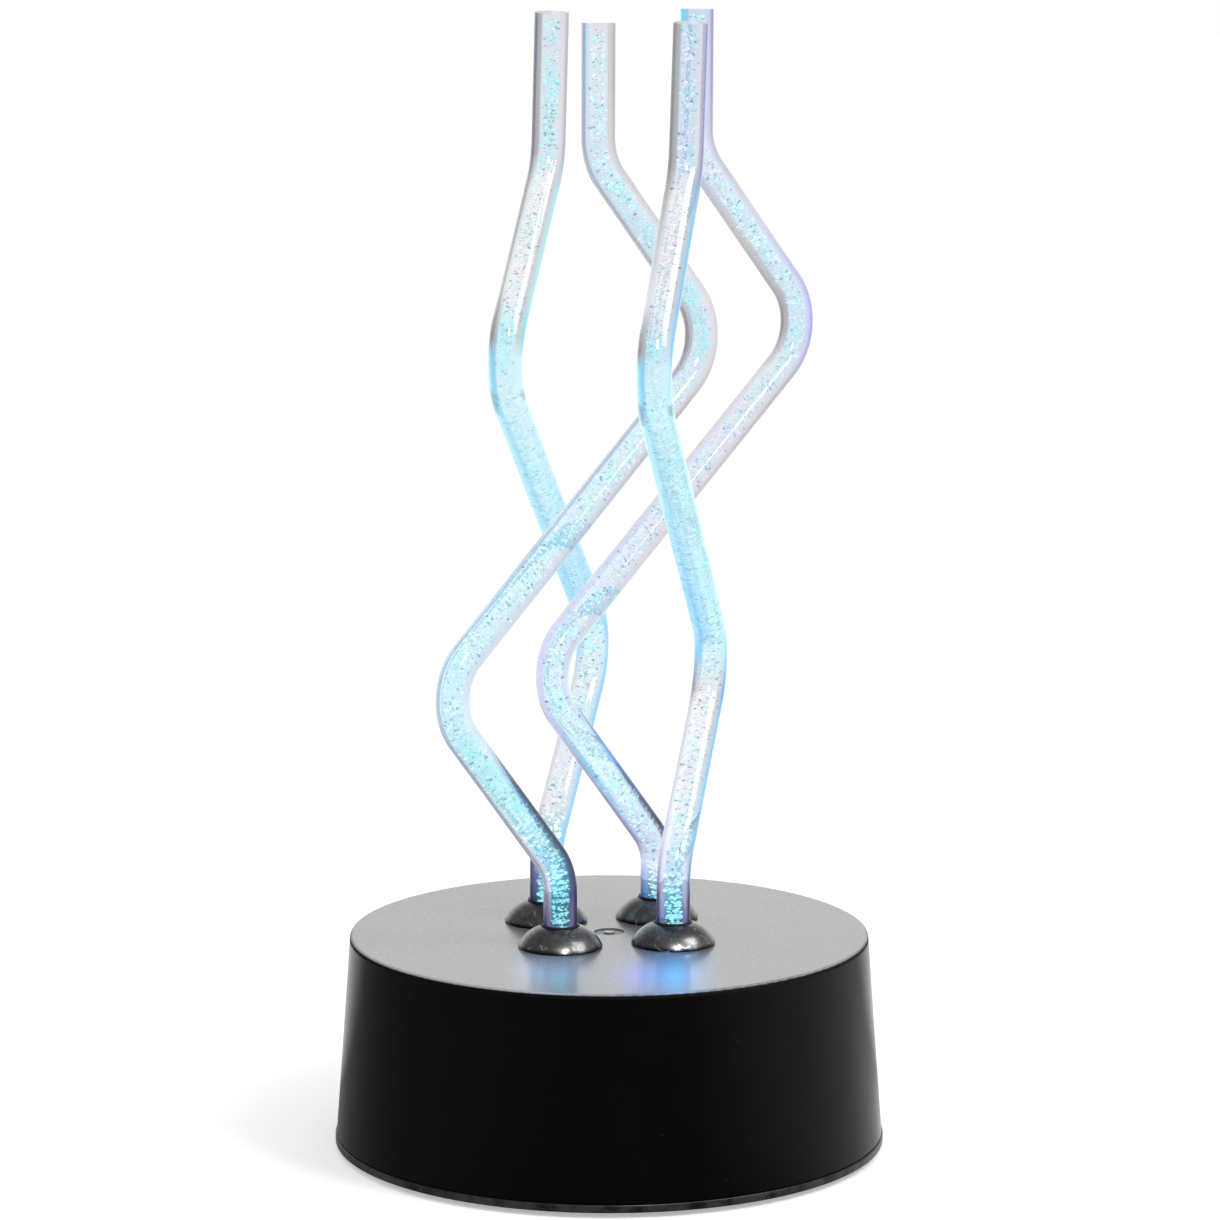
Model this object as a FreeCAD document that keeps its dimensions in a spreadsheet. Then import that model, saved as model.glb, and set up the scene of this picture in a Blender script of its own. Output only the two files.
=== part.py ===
import FreeCAD, Part
import math
import os
import re

import Sketcher

# LED table lamp: four bent clear acrylic rods stand in a black drum that holds the lights and the cells.
# Millimetres, +Z up. The origin is the centre of the base, on the surface that the rubber feet rest on.
# +Y is the back of the lamp and +X its right-hand side.

SIZES = {
    # drum shell
    "shell_bottom_radius": 82.1,
    "shell_draw_in": 4.5,
    "shell_height": 60.4,
    "shell_wall": 2.2,
    "top_wall": 2.4,
    "top_edge_round": 0.9,
    "gate_dimple_radius": 4.6,
    "gate_dimple_depth": 0.35,
    "gate_nub_radius": 1.5,
    # bottom cover
    "flange_lip": 0.4,
    "flange_thickness": 2.4,
    "flange_edge_round": 0.4,
    "seam_gap": 0.3,
    "spigot_height": 4.0,
    "spigot_wall": 1.6,
    "spigot_clearance": 0.3,
    # rubber feet
    "foot_height": 1.5,
    "foot_recess": 0.5,
    "foot_radius": 6.5,
    "foot_edge_round": 0.5,
    "foot_inset": 13.5,
    "foot_clearance": 0.1,
    # rods and their sockets
    "rod_diameter": 10.0,
    "rod_ring_radius": 23.9,
    "rod_ring_angle": 52.8,
    "rod_bend_radius": 18.0,
    "rod_bend_1_rise": 22.9,
    "rod_bend_2_rise": 79.6,
    "rod_bend_2_along": 44.2,
    "rod_bend_3_rise": 175.4,
    "rod_bend_3_along": -67.0,
    "rod_bend_3_across": -12.5,
    "rod_bend_4_rise": 230.9,
    "rod_bend_4_along": -20.2,
    "rod_bend_4_across": -9.2,
    "rod_tip_rise": 274.6,
    "rod_tip_along": -21.7,
    "rod_tip_across": -11.1,
    "front_left_angle": 215.1,
    "back_left_angle": 68.8,
    "back_right_angle": 213.9,
    "front_right_angle": 72.7,
    "front_left_trim": 3.7,
    "back_left_trim": 0.0,
    "back_right_trim": 1.5,
    "front_right_trim": 1.5,
    "socket_depth": 12.0,
    "socket_wall": 1.8,
    "socket_ledge": 1.5,
    "web_thickness": 1.4,
    "web_depth": 7.0,
    "sleeve_wall": 0.5,
    "sleeve_clearance": 0.05,
    "sleeve_show": 0.6,
    # chrome collars
    "collar_radius": 12.5,
    "collar_height": 6.3,
    "collar_dome_radius": 10.0,
    "collar_rim": 0.5,
    "collar_wall": 1.3,
    "collar_clearance": 0.2,
    # lights
    "led_radius": 2.5,
    "led_flange_radius": 2.9,
    "led_flange_height": 1.0,
    "led_length": 8.7,
    "led_gap": 0.3,
    "led_hole_clearance": 0.3,
    "led_standoff": 1.0,
    "lead_width": 0.5,
    "lead_pitch": 2.54,
    "lead_tail": 1.5,
    "lead_hole_radius": 0.45,
    # circuit board
    "board_radius": 34.0,
    "board_thickness": 1.6,
    "board_post_ring": 27.0,
    "board_post_radius": 3.2,
    "board_screw_hole": 1.5,
    "chip_length": 4.9,
    "chip_width": 3.9,
    "chip_height": 1.5,
    "chip_leg_width": 0.4,
    "chip_leg_reach": 1.1,
    "chip_leg_pitch": 1.27,
    "resistor_length": 3.2,
    "resistor_width": 1.6,
    "resistor_height": 0.6,
    "resistor_ring": 15.5,
    # screws
    "screw_thread_radius": 1.5,
    "screw_core_radius": 1.1,
    "screw_head_radius": 2.75,
    "screw_head_height": 1.8,
    "small_thread_radius": 1.25,
    "small_core_radius": 0.95,
    "small_head_radius": 2.1,
    "small_head_height": 1.4,
    "head_clearance": 0.35,
    "shank_clearance": 0.3,
    "screw_tip_room": 2.0,
    "case_boss_inset": 13.9,
    "case_screw_angle": 45.0,
    "case_screw_grip": 8.0,
    "case_boss_radius": 3.8,
    "board_screw_grip": 5.0,
    "switch_screw_grip": 3.0,
    "door_screw_grip": 3.0,
    "gusset_thickness": 1.6,
    "gusset_bite": 0.8,
    "gusset_foot_rise": 8.0,
    "well_height": 8.0,
    "well_floor": 2.0,
    "well_wall": 1.6,
    # cells and their bay
    "cell_diameter": 14.5,
    "cell_length": 50.5,
    "cell_nub_radius": 2.7,
    "cell_nub_height": 1.3,
    "cell_spacing": 0.6,
    "cell_side_gap": 0.6,
    "cell_end_round": 0.6,
    "cell_roof_gap": 0.4,
    "bay_wall": 1.6,
    "contact_thickness": 0.4,
    "contact_width": 11.0,
    "contact_height": 11.0,
    "contact_button_radius": 2.4,
    "contact_button_height": 0.8,
    "contact_end_gap": 0.1,
    "terminal_width": 3.0,
    "terminal_rise": 4.0,
    "terminal_slot_gap": 0.25,
    "spring_length": 4.6,
    "spring_wire_radius": 0.35,
    "spring_base_radius": 4.6,
    "spring_tip_radius": 2.6,
    "spring_turns": 3.0,
    "cell_rib_thickness": 1.2,
    "cell_rib_depth": 3.0,
    "cell_rib_length": 34.0,
    # battery door
    "door_thickness": 1.6,
    "door_gap": 0.3,
    "door_seat_gap": 0.1,
    "door_ledge": 1.6,
    "ear_radius": 4.6,
    "ear_depth": 3.6,
    "ear_offset": 4.6,
    "ear_well_wall": 1.4,
    "door_counterbore": 2.1,
    "tab_width": 8.0,
    "tab_spacing": 34.0,
    "tab_hook": 1.2,
    "tab_thickness": 1.2,
    "tab_lift": 0.65,
    "tab_window_rise": 2.6,
    "cradle_rib_thickness": 1.2,
    "cradle_rib_spacing": 26.0,
    "cradle_rib_gap": 0.3,
    "grip_width": 14.0,
    "grip_groove": 1.0,
    "grip_depth": 0.5,
    "grip_pitch": 2.2,
    # slide switch
    "switch_place": 50.0,
    "switch_travel": 3.5,
    "switch_width": 6.0,
    "switch_can_length": 11.0,
    "switch_can_height": 4.2,
    "switch_plate_thickness": 0.5,
    "switch_frame_length": 21.0,
    "switch_screw_pitch": 16.0,
    "switch_post_height": 3.0,
    "switch_post_radius": 2.4,
    "switch_base_height": 1.2,
    "switch_pin_width": 1.0,
    "switch_pin_height": 3.0,
    "switch_pin_pitch": 3.0,
    "knob_length": 3.0,
    "knob_width": 2.8,
    "knob_flange_length": 5.0,
    "knob_flange_width": 4.2,
    "knob_flange_height": 1.6,
    "knob_clearance": 0.3,
    "knob_shoe_gap": 0.1,
    "knob_show": 0.8,
    "dish_length": 15.0,
    "dish_width": 8.0,
    "dish_depth": 0.9,
    # wires
    "wire_radius": 0.8,
}

# Sizes that follow from the ones above. Each is an expression in their names.
DERIVED = {
    "cover_top": "foot_height + flange_thickness",
    "seam_top": "cover_top + seam_gap",
    "top_face": "seam_top + shell_height",
    "inner_top": "top_face - top_wall",
    "shell_top_radius": "shell_bottom_radius - shell_draw_in",
    "shell_taper": "shell_draw_in / shell_height",
    "shell_inner_top_radius": "shell_top_radius + shell_taper * top_wall - shell_wall",
    "shell_inner_bottom_radius": "shell_bottom_radius - shell_wall",
    "spigot_radius": "shell_inner_bottom_radius - shell_taper * spigot_height - spigot_clearance",
    "flange_radius": "shell_bottom_radius + flange_lip",
    "foot_ring_radius": "flange_radius - foot_inset",
    "case_screw_ring": "shell_inner_bottom_radius - case_boss_inset",
    "rod_radius": "rod_diameter / 2",
    "sleeve_radius": "rod_radius + sleeve_wall",
    "sleeve_top": "top_face + collar_height + sleeve_show",
    "socket_radius": "sleeve_radius + sleeve_clearance",
    "socket_boss_radius": "socket_radius + socket_wall",
    "socket_floor": "top_face - socket_depth",
    "socket_end": "socket_floor - socket_ledge",
    "led_base": "socket_floor - led_gap - led_length",
    "board_top": "led_base - led_standoff",
    "board_bottom": "board_top - board_thickness",
    "well_top": "cover_top + well_height",
    "well_seat": "well_top - well_floor",
    "well_radius": "screw_head_radius + head_clearance",
    "case_screw_length": "well_floor + case_screw_grip",
    "case_pilot_depth": "case_screw_grip + screw_tip_room",
    "board_screw_length": "board_thickness + board_screw_grip",
    "cell_pitch": "cell_diameter + cell_spacing",
    "cell_axis": "cover_top + cell_roof_gap + cell_diameter / 2",
    "bay_width": "2 * cell_pitch + cell_diameter + 2 * cell_side_gap",
    "bay_length": "cell_length + spring_length + contact_button_height"
                  " + 2 * contact_thickness + 2 * contact_end_gap",
    "bay_roof": "cell_axis + cell_diameter / 2 + cell_roof_gap",
    "bay_top": "bay_roof + bay_wall",
    "recess_width": "bay_width + 2 * door_ledge",
    "recess_length": "bay_length + 2 * door_ledge",
    "recess_roof": "foot_height + door_thickness + door_seat_gap",
    "ear_place": "recess_width / 2 + ear_offset",
    "ear_ceiling": "foot_height + ear_depth + door_seat_gap",
    "ear_top": "ear_ceiling + door_screw_grip + screw_tip_room",
    "tab_bottom": "cover_top + tab_lift",
    "tab_top": "tab_bottom + tab_thickness",
    "door_seat": "foot_height + door_counterbore",
    "door_screw_length": "ear_depth - door_counterbore + door_seat_gap + door_screw_grip",
    "frame_bottom": "cover_top + switch_post_height",
    "frame_top": "frame_bottom + switch_plate_thickness",
    "can_top": "frame_top + switch_can_height",
    "switch_slot_length": "knob_length + switch_travel + 2 * knob_clearance",
    "switch_slot_width": "knob_width + 2 * knob_clearance",
    "knob_bottom": "foot_height - knob_show",
    "knob_shoulder": "frame_top + knob_shoe_gap",
    "pin_top": "can_top + switch_base_height + switch_pin_height",
    "terminal_top": "bay_top + terminal_rise",
}

# The corner of the socket square that each rod stands in. Its _angle size is how far the rod is turned
# about its foot, and its _trim size how much shorter it is cut than the bending jig makes it.
RODS = {"back_right": 0, "back_left": 1, "front_left": 2, "front_right": 3}
CORNERS = 4

doc = FreeCAD.newDocument("rod_lamp")
sizes = doc.addObject("Spreadsheet::Sheet", "Sizes")
for row, (alias, number) in enumerate(SIZES.items(), start=1):
    sizes.set(f"A{row}", alias)
    sizes.set(f"B{row}", str(number))
    sizes.setAlias(f"B{row}", alias)
doc.recompute()

SUBPARTS = []


# ---- expressions ----------------------------------------------------------------------------------

def size(text):
    """The expression with every named size pointed at its cell in the sheet."""
    def point(word):
        name = word.group()
        if name in SIZES:
            return "Sizes." + name
        if name in DERIVED:
            return "(" + size(DERIVED[name]) + ")"
        return name
    return re.sub(r"[a-z_][a-z_0-9]*", point, text)


def bind(thing, prop, text):
    thing.setExpression(prop, size(text))


def value(text):
    """What the expression comes to now, as a plain number."""
    result = sizes.evalExpression(size(text))
    return float(getattr(result, "Value", result))


def around(ring, angle):
    """Expressions for the X and Y of a point on a ring about the lamp's axis."""
    return f"{ring} * cos(({angle}) * 1deg)", f"{ring} * sin(({angle}) * 1deg)"


# ---- bodies and sketches --------------------------------------------------------------------------

def new_body(label, several=False):
    body = doc.addObject("PartDesign::Body", label)
    body.Label = label
    body.AllowCompound = several
    SUBPARTS.append(body)
    return body


def origin_part(body, role):
    return next(part for part in body.Origin.OriginFeatures if part.Role == role)


def sketch_on(body, name, x="0", y="0", z="0", plane="XY_Plane"):
    """A sketch parallel to one of the body's own planes, its origin moved to x, y, z of that plane."""
    sketch = body.newObject("Sketcher::SketchObject", name)
    sketch.AttachmentSupport = [(origin_part(body, plane), "")]
    sketch.MapMode = "FlatFace"
    for axis, text in zip("xyz", (x, y, z)):
        if text != "0":
            bind(sketch, f"AttachmentOffset.Base.{axis}", text)
    return sketch


def add_circle(sketch, radius):
    """A circle about the sketch's origin."""
    start = Part.Circle(FreeCAD.Vector(), FreeCAD.Vector(0, 0, 1), value(radius))
    circle = sketch.addGeometry(start, False)
    sketch.addConstraint(Sketcher.Constraint("Coincident", circle, 3, -1, 1))
    rule = sketch.addConstraint(Sketcher.Constraint("Radius", circle, value(radius)))
    bind(sketch, f"Constraints[{rule}]", radius)


def end_at(sketch, edge, place):
    """Which end of a sketch's edge, 1 or 2, lies at a place."""
    return 1 if (sketch.getPoint(edge, 1) - place).Length < (sketch.getPoint(edge, 2) - place).Length else 2


def arc_between(start, end, radius, side):
    """The short arc from start to end that bulges to one side of the way."""
    chord = end - start
    rise = radius - math.sqrt(radius ** 2 - (chord.Length / 2) ** 2)
    outward = FreeCAD.Vector(chord.y, -chord.x, 0).normalize() * (1 if side == "right" else -1)
    return Part.Arc(start, (start + end) / 2 + outward * rise, end)


def add_outline(sketch, corners, arcs=None):
    """A closed outline through (x, y) corners. arcs maps the number of a corner to the radius of the
    arc from there to the next corner and the side of the way that it bulges to."""
    arcs = arcs or {}
    places = [FreeCAD.Vector(value(x), value(y), 0) for x, y in corners]
    edges = []
    for number, start in enumerate(places):
        end = places[(number + 1) % len(places)]
        if number in arcs:
            radius, side = arcs[number]
            edges.append(arc_between(start, end, value(radius), side))
        else:
            edges.append(Part.LineSegment(start, end))
    numbers = sketch.addGeometry(edges, False)
    for number, edge in enumerate(numbers):
        corner = places[number]
        before = numbers[number - 1]
        point = (edge, end_at(sketch, edge, corner))
        joined = (before, end_at(sketch, before, corner))
        sketch.addConstraint(Sketcher.Constraint("Coincident", *point, *joined))
        for kind, axis, text in zip(("DistanceX", "DistanceY"), (-2, -1), corners[number]):
            if text == "0":
                sketch.addConstraint(Sketcher.Constraint("PointOnObject", *point, axis))
            else:
                rule = sketch.addConstraint(Sketcher.Constraint(kind, -1, 1, *point, value(text)))
                bind(sketch, f"Constraints[{rule}]", text)
        if number in arcs:
            rule = sketch.addConstraint(Sketcher.Constraint("Radius", edge, value(arcs[number][0])))
            bind(sketch, f"Constraints[{rule}]", arcs[number][0])


def add_rectangle(sketch, length, width):
    """A rectangle centred on the sketch's origin."""
    add_outline(sketch, [(f"-({length}) / 2", f"-({width}) / 2"), (f"({length}) / 2", f"-({width}) / 2"),
                         (f"({length}) / 2", f"({width}) / 2"), (f"-({length}) / 2", f"({width}) / 2")])


# ---- solid features -------------------------------------------------------------------------------

def pad(body, sketch, length, **options):
    feature = body.newObject("PartDesign::Pad", sketch.Name + "_pad")
    feature.Profile = sketch
    bind(feature, "Length", length)
    for option, setting in options.items():
        setattr(feature, option, setting)
    sketch.Visibility = False
    return feature


def cut(body, sketch, depth):
    """A pocket from the sketch's plane down."""
    feature = body.newObject("PartDesign::Pocket", sketch.Name + "_cut")
    feature.Profile = sketch
    bind(feature, "Length", depth)
    return feature


def column(body, name, radius, bottom, top, x="0", y="0"):
    sketch = sketch_on(body, name, x, y, bottom)
    add_circle(sketch, radius)
    return pad(body, sketch, f"({top}) - ({bottom})")


def bore(body, name, radius, bottom, top, x="0", y="0"):
    sketch = sketch_on(body, name, x, y, top)
    add_circle(sketch, radius)
    return cut(body, sketch, f"({top}) - ({bottom})")


def block(body, name, length, width, bottom, top, x="0", y="0"):
    sketch = sketch_on(body, name, x, y, bottom)
    add_rectangle(sketch, length, width)
    return pad(body, sketch, f"({top}) - ({bottom})")


def slot(body, name, length, width, bottom, top, x="0", y="0"):
    sketch = sketch_on(body, name, x, y, top)
    add_rectangle(sketch, length, width)
    return cut(body, sketch, f"({top}) - ({bottom})")


def turned(body, name, corners, arcs=None):
    """A solid of revolution about the body's Z axis, from (radius, height) corners."""
    sketch = sketch_on(body, name, plane="XZ_Plane")
    add_outline(sketch, corners, arcs)
    feature = body.newObject("PartDesign::Revolution", name + "_turned")
    feature.Profile = sketch
    feature.ReferenceAxis = (sketch, ["V_Axis"])
    feature.Angle = 360
    return feature


def ring_of(body, feature, count=CORNERS):
    """Copies of a feature, evenly spaced about the body's Z axis."""
    pattern = body.newObject("PartDesign::PolarPattern", feature.Name + "_ring")
    pattern.Originals = [feature]
    pattern.Axis = (origin_part(body, "Z_Axis"), [""])
    pattern.Angle = 360
    pattern.Occurrences = count
    body.Tip = pattern
    return pattern


def row_of(body, feature, axis, length, count):
    """Copies of a feature in a row along one of the body's axes."""
    pattern = body.newObject("PartDesign::LinearPattern", feature.Name + "_row")
    pattern.Originals = [feature]
    pattern.Direction = (origin_part(body, axis), [""])
    bind(pattern, "Length", length)
    pattern.Occurrences = count
    body.Tip = pattern
    return pattern


def round_rim(body, feature, rim_radius, heights, rounding):
    """Rounds the circular edges about the Z axis of one radius at the given heights."""
    doc.recompute()
    wanted = [value(height) for height in heights]
    names = []
    for number, edge in enumerate(feature.Shape.Edges, start=1):
        curve = edge.Curve
        if not isinstance(curve, Part.Circle) or abs(curve.Radius - value(rim_radius)) > 1e-4:
            continue
        if any(abs(curve.Center.z - height) < 1e-4 for height in wanted):
            names.append(f"Edge{number}")
    fillet = body.newObject("PartDesign::Fillet", feature.Name + "_round")
    fillet.Base = (feature, names)
    bind(fillet, "Radius", rounding)
    return fillet


def place(body, x="0", y="0", z="0", turn=None):
    """Puts a finished body at its place in the lamp."""
    if turn is not None:
        body.Placement = FreeCAD.Placement(FreeCAD.Vector(), turn)
    for axis, text in zip("xyz", (x, y, z)):
        if text != "0":
            bind(body, f"Placement.Base.{axis}", text)


# ---- swept tubes ----------------------------------------------------------------------------------

def bent_path(name, points, radius_of):
    """Straight runs through the points, joined by tangent arcs. radius_of gives the radius of the arc
    at a corner from its shorter run and the angle that the path turns by there."""
    edges = []
    start = points[0]
    for before, corner, after in zip(points, points[1:], points[2:]):
        back, ahead = before - corner, after - corner
        turn = math.pi - back.getAngle(ahead)
        reach = radius_of(min(back.Length, ahead.Length), turn) * math.tan(turn / 2)
        into, out = corner + back.normalize() * reach, corner + ahead.normalize() * reach
        bisector = (back + ahead).normalize()
        radius = reach / math.tan(turn / 2)
        middle = corner + bisector * (radius / math.cos(turn / 2) - radius)
        edges.append(Part.LineSegment(start, into).toShape())
        edges.append(Part.Arc(into, middle, out).toShape())
        start = out
    edges.append(Part.LineSegment(start, points[-1]).toShape())
    path = doc.addObject("Part::Feature", name)
    path.Shape = Part.Wire(edges)
    return path


def sweep_round(label, path, radius):
    """A round bar or wire along a path."""
    first = path.Shape.Edges[0]
    start, heading = first.firstVertex().Point, first.tangentAt(first.FirstParameter)
    section = doc.addObject("Part::Circle", label + "_section")
    bind(section, "Radius", radius)
    section.Placement = FreeCAD.Placement(start, FreeCAD.Rotation(FreeCAD.Vector(0, 0, 1), heading))
    bar = doc.addObject("Part::Sweep", label)
    bar.Label = label
    bar.Sections = [section]
    bar.Spine = (path, [f"Edge{number}" for number in range(1, len(path.Shape.Edges) + 1)])
    bar.Solid = True
    SUBPARTS.append(bar)
    return bar


# ---- drum -----------------------------------------------------------------------------------------

def corner_place(corner):
    return around("rod_ring_radius", f"rod_ring_angle + {corner} * 90")


def make_housing():
    """The tapered shell: rod sockets tied by webs, board posts, screw bosses with gussets, and the gate mark."""
    body = new_body("housing")
    shell = turned(body, "shell", [
        ("0", "top_face"), ("0", "inner_top"), ("shell_inner_top_radius", "inner_top"),
        ("shell_inner_bottom_radius", "seam_top"), ("shell_bottom_radius", "seam_top"),
        ("shell_top_radius", "top_face")])
    round_rim(body, shell, "shell_top_radius", ["top_face"], "top_edge_round")
    rooted = "inner_top + top_wall / 2"

    ring_of(body, column(body, "socket", "socket_boss_radius", "socket_end", rooted, *corner_place(0)))
    web = sketch_on(body, "web", z="inner_top - web_depth")
    web.AttachmentOffset = FreeCAD.Placement(
        FreeCAD.Vector(), FreeCAD.Rotation(FreeCAD.Vector(0, 0, 1), value("rod_ring_angle + 45")))
    out, half = around("rod_ring_radius", "45")
    near, far = f"{out} - web_thickness / 2", f"{out} + web_thickness / 2"
    add_outline(web, [(near, f"-{half}"), (far, f"-{half}"), (far, half), (near, half)])
    ring_of(body, pad(body, web, "web_depth + top_wall / 2"))
    ring_of(body, bore(body, "socket_bore", "socket_radius", "socket_floor", "top_face", *corner_place(0)))
    ring_of(body, bore(body, "led_way", "led_radius + led_hole_clearance", "socket_end", "socket_floor",
                       *corner_place(0)))

    post = around("board_post_ring", "rod_ring_angle + 45")
    ring_of(body, column(body, "board_post", "board_post_radius", "board_top", rooted, *post))
    ring_of(body, bore(body, "board_pilot", "small_thread_radius", "board_top",
                       "board_top + board_screw_grip + screw_tip_room", *post))

    boss = around("case_screw_ring", "case_screw_angle")
    ring_of(body, column(body, "case_boss", "case_boss_radius", "well_top", rooted, *boss))
    gusset = sketch_on(body, "gusset", plane="XZ_Plane")
    gusset.AttachmentOffset = FreeCAD.Placement(
        FreeCAD.Vector(), FreeCAD.Rotation(FreeCAD.Vector(0, 1, 0), value("case_screw_angle")))
    foot = "well_top + gusset_foot_rise"
    add_outline(gusset, [
        ("case_screw_ring", foot),
        (f"shell_inner_bottom_radius - shell_taper * ({foot} - seam_top) + gusset_bite", foot),
        ("shell_inner_top_radius + gusset_bite", rooted), ("case_screw_ring", rooted)])
    ring_of(body, pad(body, gusset, "gusset_thickness", Midplane=True))
    ring_of(body, bore(body, "case_pilot", "screw_thread_radius", "well_top",
                       "well_top + case_pilot_depth", *boss))

    bore(body, "gate_dimple", "gate_dimple_radius", "top_face - gate_dimple_depth", "top_face")
    column(body, "gate_nub", "gate_nub_radius", "top_face - 2 * gate_dimple_depth", "top_face")


def make_bottom_cover():
    """The flanged cover: locating spigot, screw wells, cell bay, door seat, switch posts and slot."""
    body = new_body("bottom_cover")
    plate = column(body, "plate", "flange_radius", "foot_height", "cover_top")
    round_rim(body, plate, "flange_radius", ["foot_height", "cover_top"], "flange_edge_round")

    spigot = sketch_on(body, "spigot", z="foot_height + flange_thickness / 2")
    add_circle(spigot, "spigot_radius")
    add_circle(spigot, "spigot_radius - spigot_wall")
    pad(body, spigot, "flange_thickness / 2 + spigot_height")

    boss = around("case_screw_ring", "case_screw_angle")
    ring_of(body, column(body, "well", "well_radius + well_wall", "foot_height", "well_top", *boss))
    ring_of(body, bore(body, "well_bore", "well_radius", "foot_height", "well_seat", *boss))
    ring_of(body, bore(body, "well_hole", "screw_thread_radius + shank_clearance", "well_seat",
                       "well_top", *boss))
    ring_of(body, bore(body, "foot_seat", "foot_radius + foot_clearance", "foot_height",
                       "foot_height + foot_recess", x="foot_ring_radius"))

    block(body, "bay", "bay_width + 2 * bay_wall", "bay_length + 2 * bay_wall", "foot_height", "bay_top")
    column(body, "ear_well", "ear_radius + door_gap + ear_well_wall", "foot_height", "ear_top", x="ear_place")
    slot(body, "bay_room", "bay_width", "bay_length", "foot_height", "bay_roof")
    slot(body, "door_seat", "recess_width", "recess_length", "foot_height", "recess_roof")
    bore(body, "ear_room", "ear_radius + door_gap", "foot_height", "ear_ceiling", x="ear_place")
    slot(body, "ear_neck", "ear_offset", "2 * (ear_radius + door_gap)", "foot_height", "recess_roof",
         x="recess_width / 2 + ear_offset / 2")
    bore(body, "door_pilot", "screw_thread_radius", "ear_ceiling", "ear_top", x="ear_place")
    for side, sign in (("front", "-"), ("back", "")):
        slot(body, f"tab_window_{side}", "2 * bay_wall", "tab_width + 2 * door_gap", "cover_top",
             "cover_top + tab_window_rise", x="-(bay_width + bay_wall) / 2", y=f"{sign}tab_spacing / 2")
    for side, sign in (("left", "-"), ("right", "")):
        block(body, f"cell_rib_{side}", "cell_rib_thickness", "cell_rib_length",
              "bay_roof - cell_rib_depth", "bay_roof + bay_wall / 2", x=f"{sign}cell_pitch / 2")
    for side, sign in (("minus", "-"), ("plus", "")):
        slot(body, f"terminal_way_{side}", "terminal_width + 2 * terminal_slot_gap",
             "contact_thickness + 2 * terminal_slot_gap", "bay_roof", "bay_top", x=f"{sign}cell_pitch",
             y=f"{sign}(bay_length - contact_thickness) / 2")

    for side, sign in (("left", "-"), ("right", "")):
        across = f"{sign}switch_screw_pitch / 2"
        column(body, f"switch_post_{side}", "switch_post_radius", "foot_height + flange_thickness / 2",
               "frame_bottom", across, "switch_place")
        bore(body, f"switch_pilot_{side}", "small_thread_radius", "frame_bottom - switch_screw_grip",
             "frame_bottom", across, "switch_place")
    slot(body, "switch_dish", "dish_length", "dish_width", "foot_height", "foot_height + dish_depth",
         y="switch_place")
    slot(body, "switch_slot", "switch_slot_length", "switch_slot_width", "foot_height", "cover_top",
         y="switch_place")


def make_feet():
    for number in range(CORNERS):
        body = new_body(f"foot_{number + 1}")
        foot = column(body, "pad", "foot_radius", "0", "foot_height + foot_recess")
        round_rim(body, foot, "foot_radius", ["0"], "foot_edge_round")
        place(body, *around("foot_ring_radius", f"{number} * 90"))


# ---- rods and collars -----------------------------------------------------------------------------

def make_rods():
    """One bent rod per socket, standing on the socket's ledge in a rubber sleeve, under its collar."""
    for name, corner in RODS.items():
        bends = [(rise, along, across) for rise, along, across in (
            ("-socket_depth", "0", "0"),
            ("rod_bend_1_rise", "0", "0"),
            ("rod_bend_2_rise", "rod_bend_2_along", "0"),
            ("rod_bend_3_rise", "rod_bend_3_along", "rod_bend_3_across"),
            ("rod_bend_4_rise", "rod_bend_4_along", "rod_bend_4_across"),
            ("rod_tip_rise", "rod_tip_along", "rod_tip_across"))]
        points = [FreeCAD.Vector(value(along), value(across), value(rise)) for rise, along, across in bends]
        tip = points[-1] - points[-2]
        points[-1] -= tip * (value(f"{name}_trim") / tip.Length)
        path = bent_path(f"rod_path_{name}", points, lambda run, angle: value("rod_bend_radius"))
        rod = sweep_round(f"rod_{name}", path, "rod_radius")
        x, y = corner_place(corner)
        place(rod, x, y, "top_face", FreeCAD.Rotation(FreeCAD.Vector(0, 0, 1), value(f"{name}_angle")))

        sleeve = new_body(f"rod_sleeve_{name}")
        tube = sketch_on(sleeve, "tube", z="socket_floor")
        add_circle(tube, "sleeve_radius")
        add_circle(tube, "rod_radius")
        pad(sleeve, tube, "sleeve_top - socket_floor")
        place(sleeve, x, y)

        collar = new_body(f"collar_{name}")
        hole = "sleeve_radius + collar_clearance"
        inner_rim = "collar_radius - collar_wall"
        turned(collar, "dome", [
            (hole, "collar_height"), (hole, "collar_height - collar_wall"), (inner_rim, "collar_rim"),
            (inner_rim, "0"), ("collar_radius - collar_rim", "0"), ("collar_radius", "collar_rim")],
            {1: ("collar_dome_radius - collar_wall", "left"), 4: ("collar_rim", "right"),
             5: ("collar_dome_radius", "right")})
        place(collar, x, y, "top_face")


# ---- lights and circuit board -----------------------------------------------------------------------

def make_lights():
    """Four LEDs whose domes look up into the rods, and their leads, soldered through the board."""
    for name, corner in RODS.items():
        led = new_body(f"led_{name}")
        shoulder = "led_length - led_radius"
        turned(led, "lens", [
            ("0", "0"), ("led_flange_radius", "0"), ("led_flange_radius", "led_flange_height"),
            ("led_radius", "led_flange_height"), ("led_radius", shoulder), ("0", "led_length")],
            {4: ("led_radius", "right")})
        place(led, *corner_place(corner), "led_base")

    leads = new_body("led_leads", several=True)
    for side, sign in (("cathode", "-"), ("anode", "")):
        ring_of(leads, block(leads, side, "lead_width", "lead_width", "board_bottom - lead_tail", "led_base",
                             f"rod_ring_radius {sign or '+'} lead_pitch / 2"))
    place(leads, turn=FreeCAD.Rotation(FreeCAD.Vector(0, 0, 1), value("rod_ring_angle")))


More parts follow.
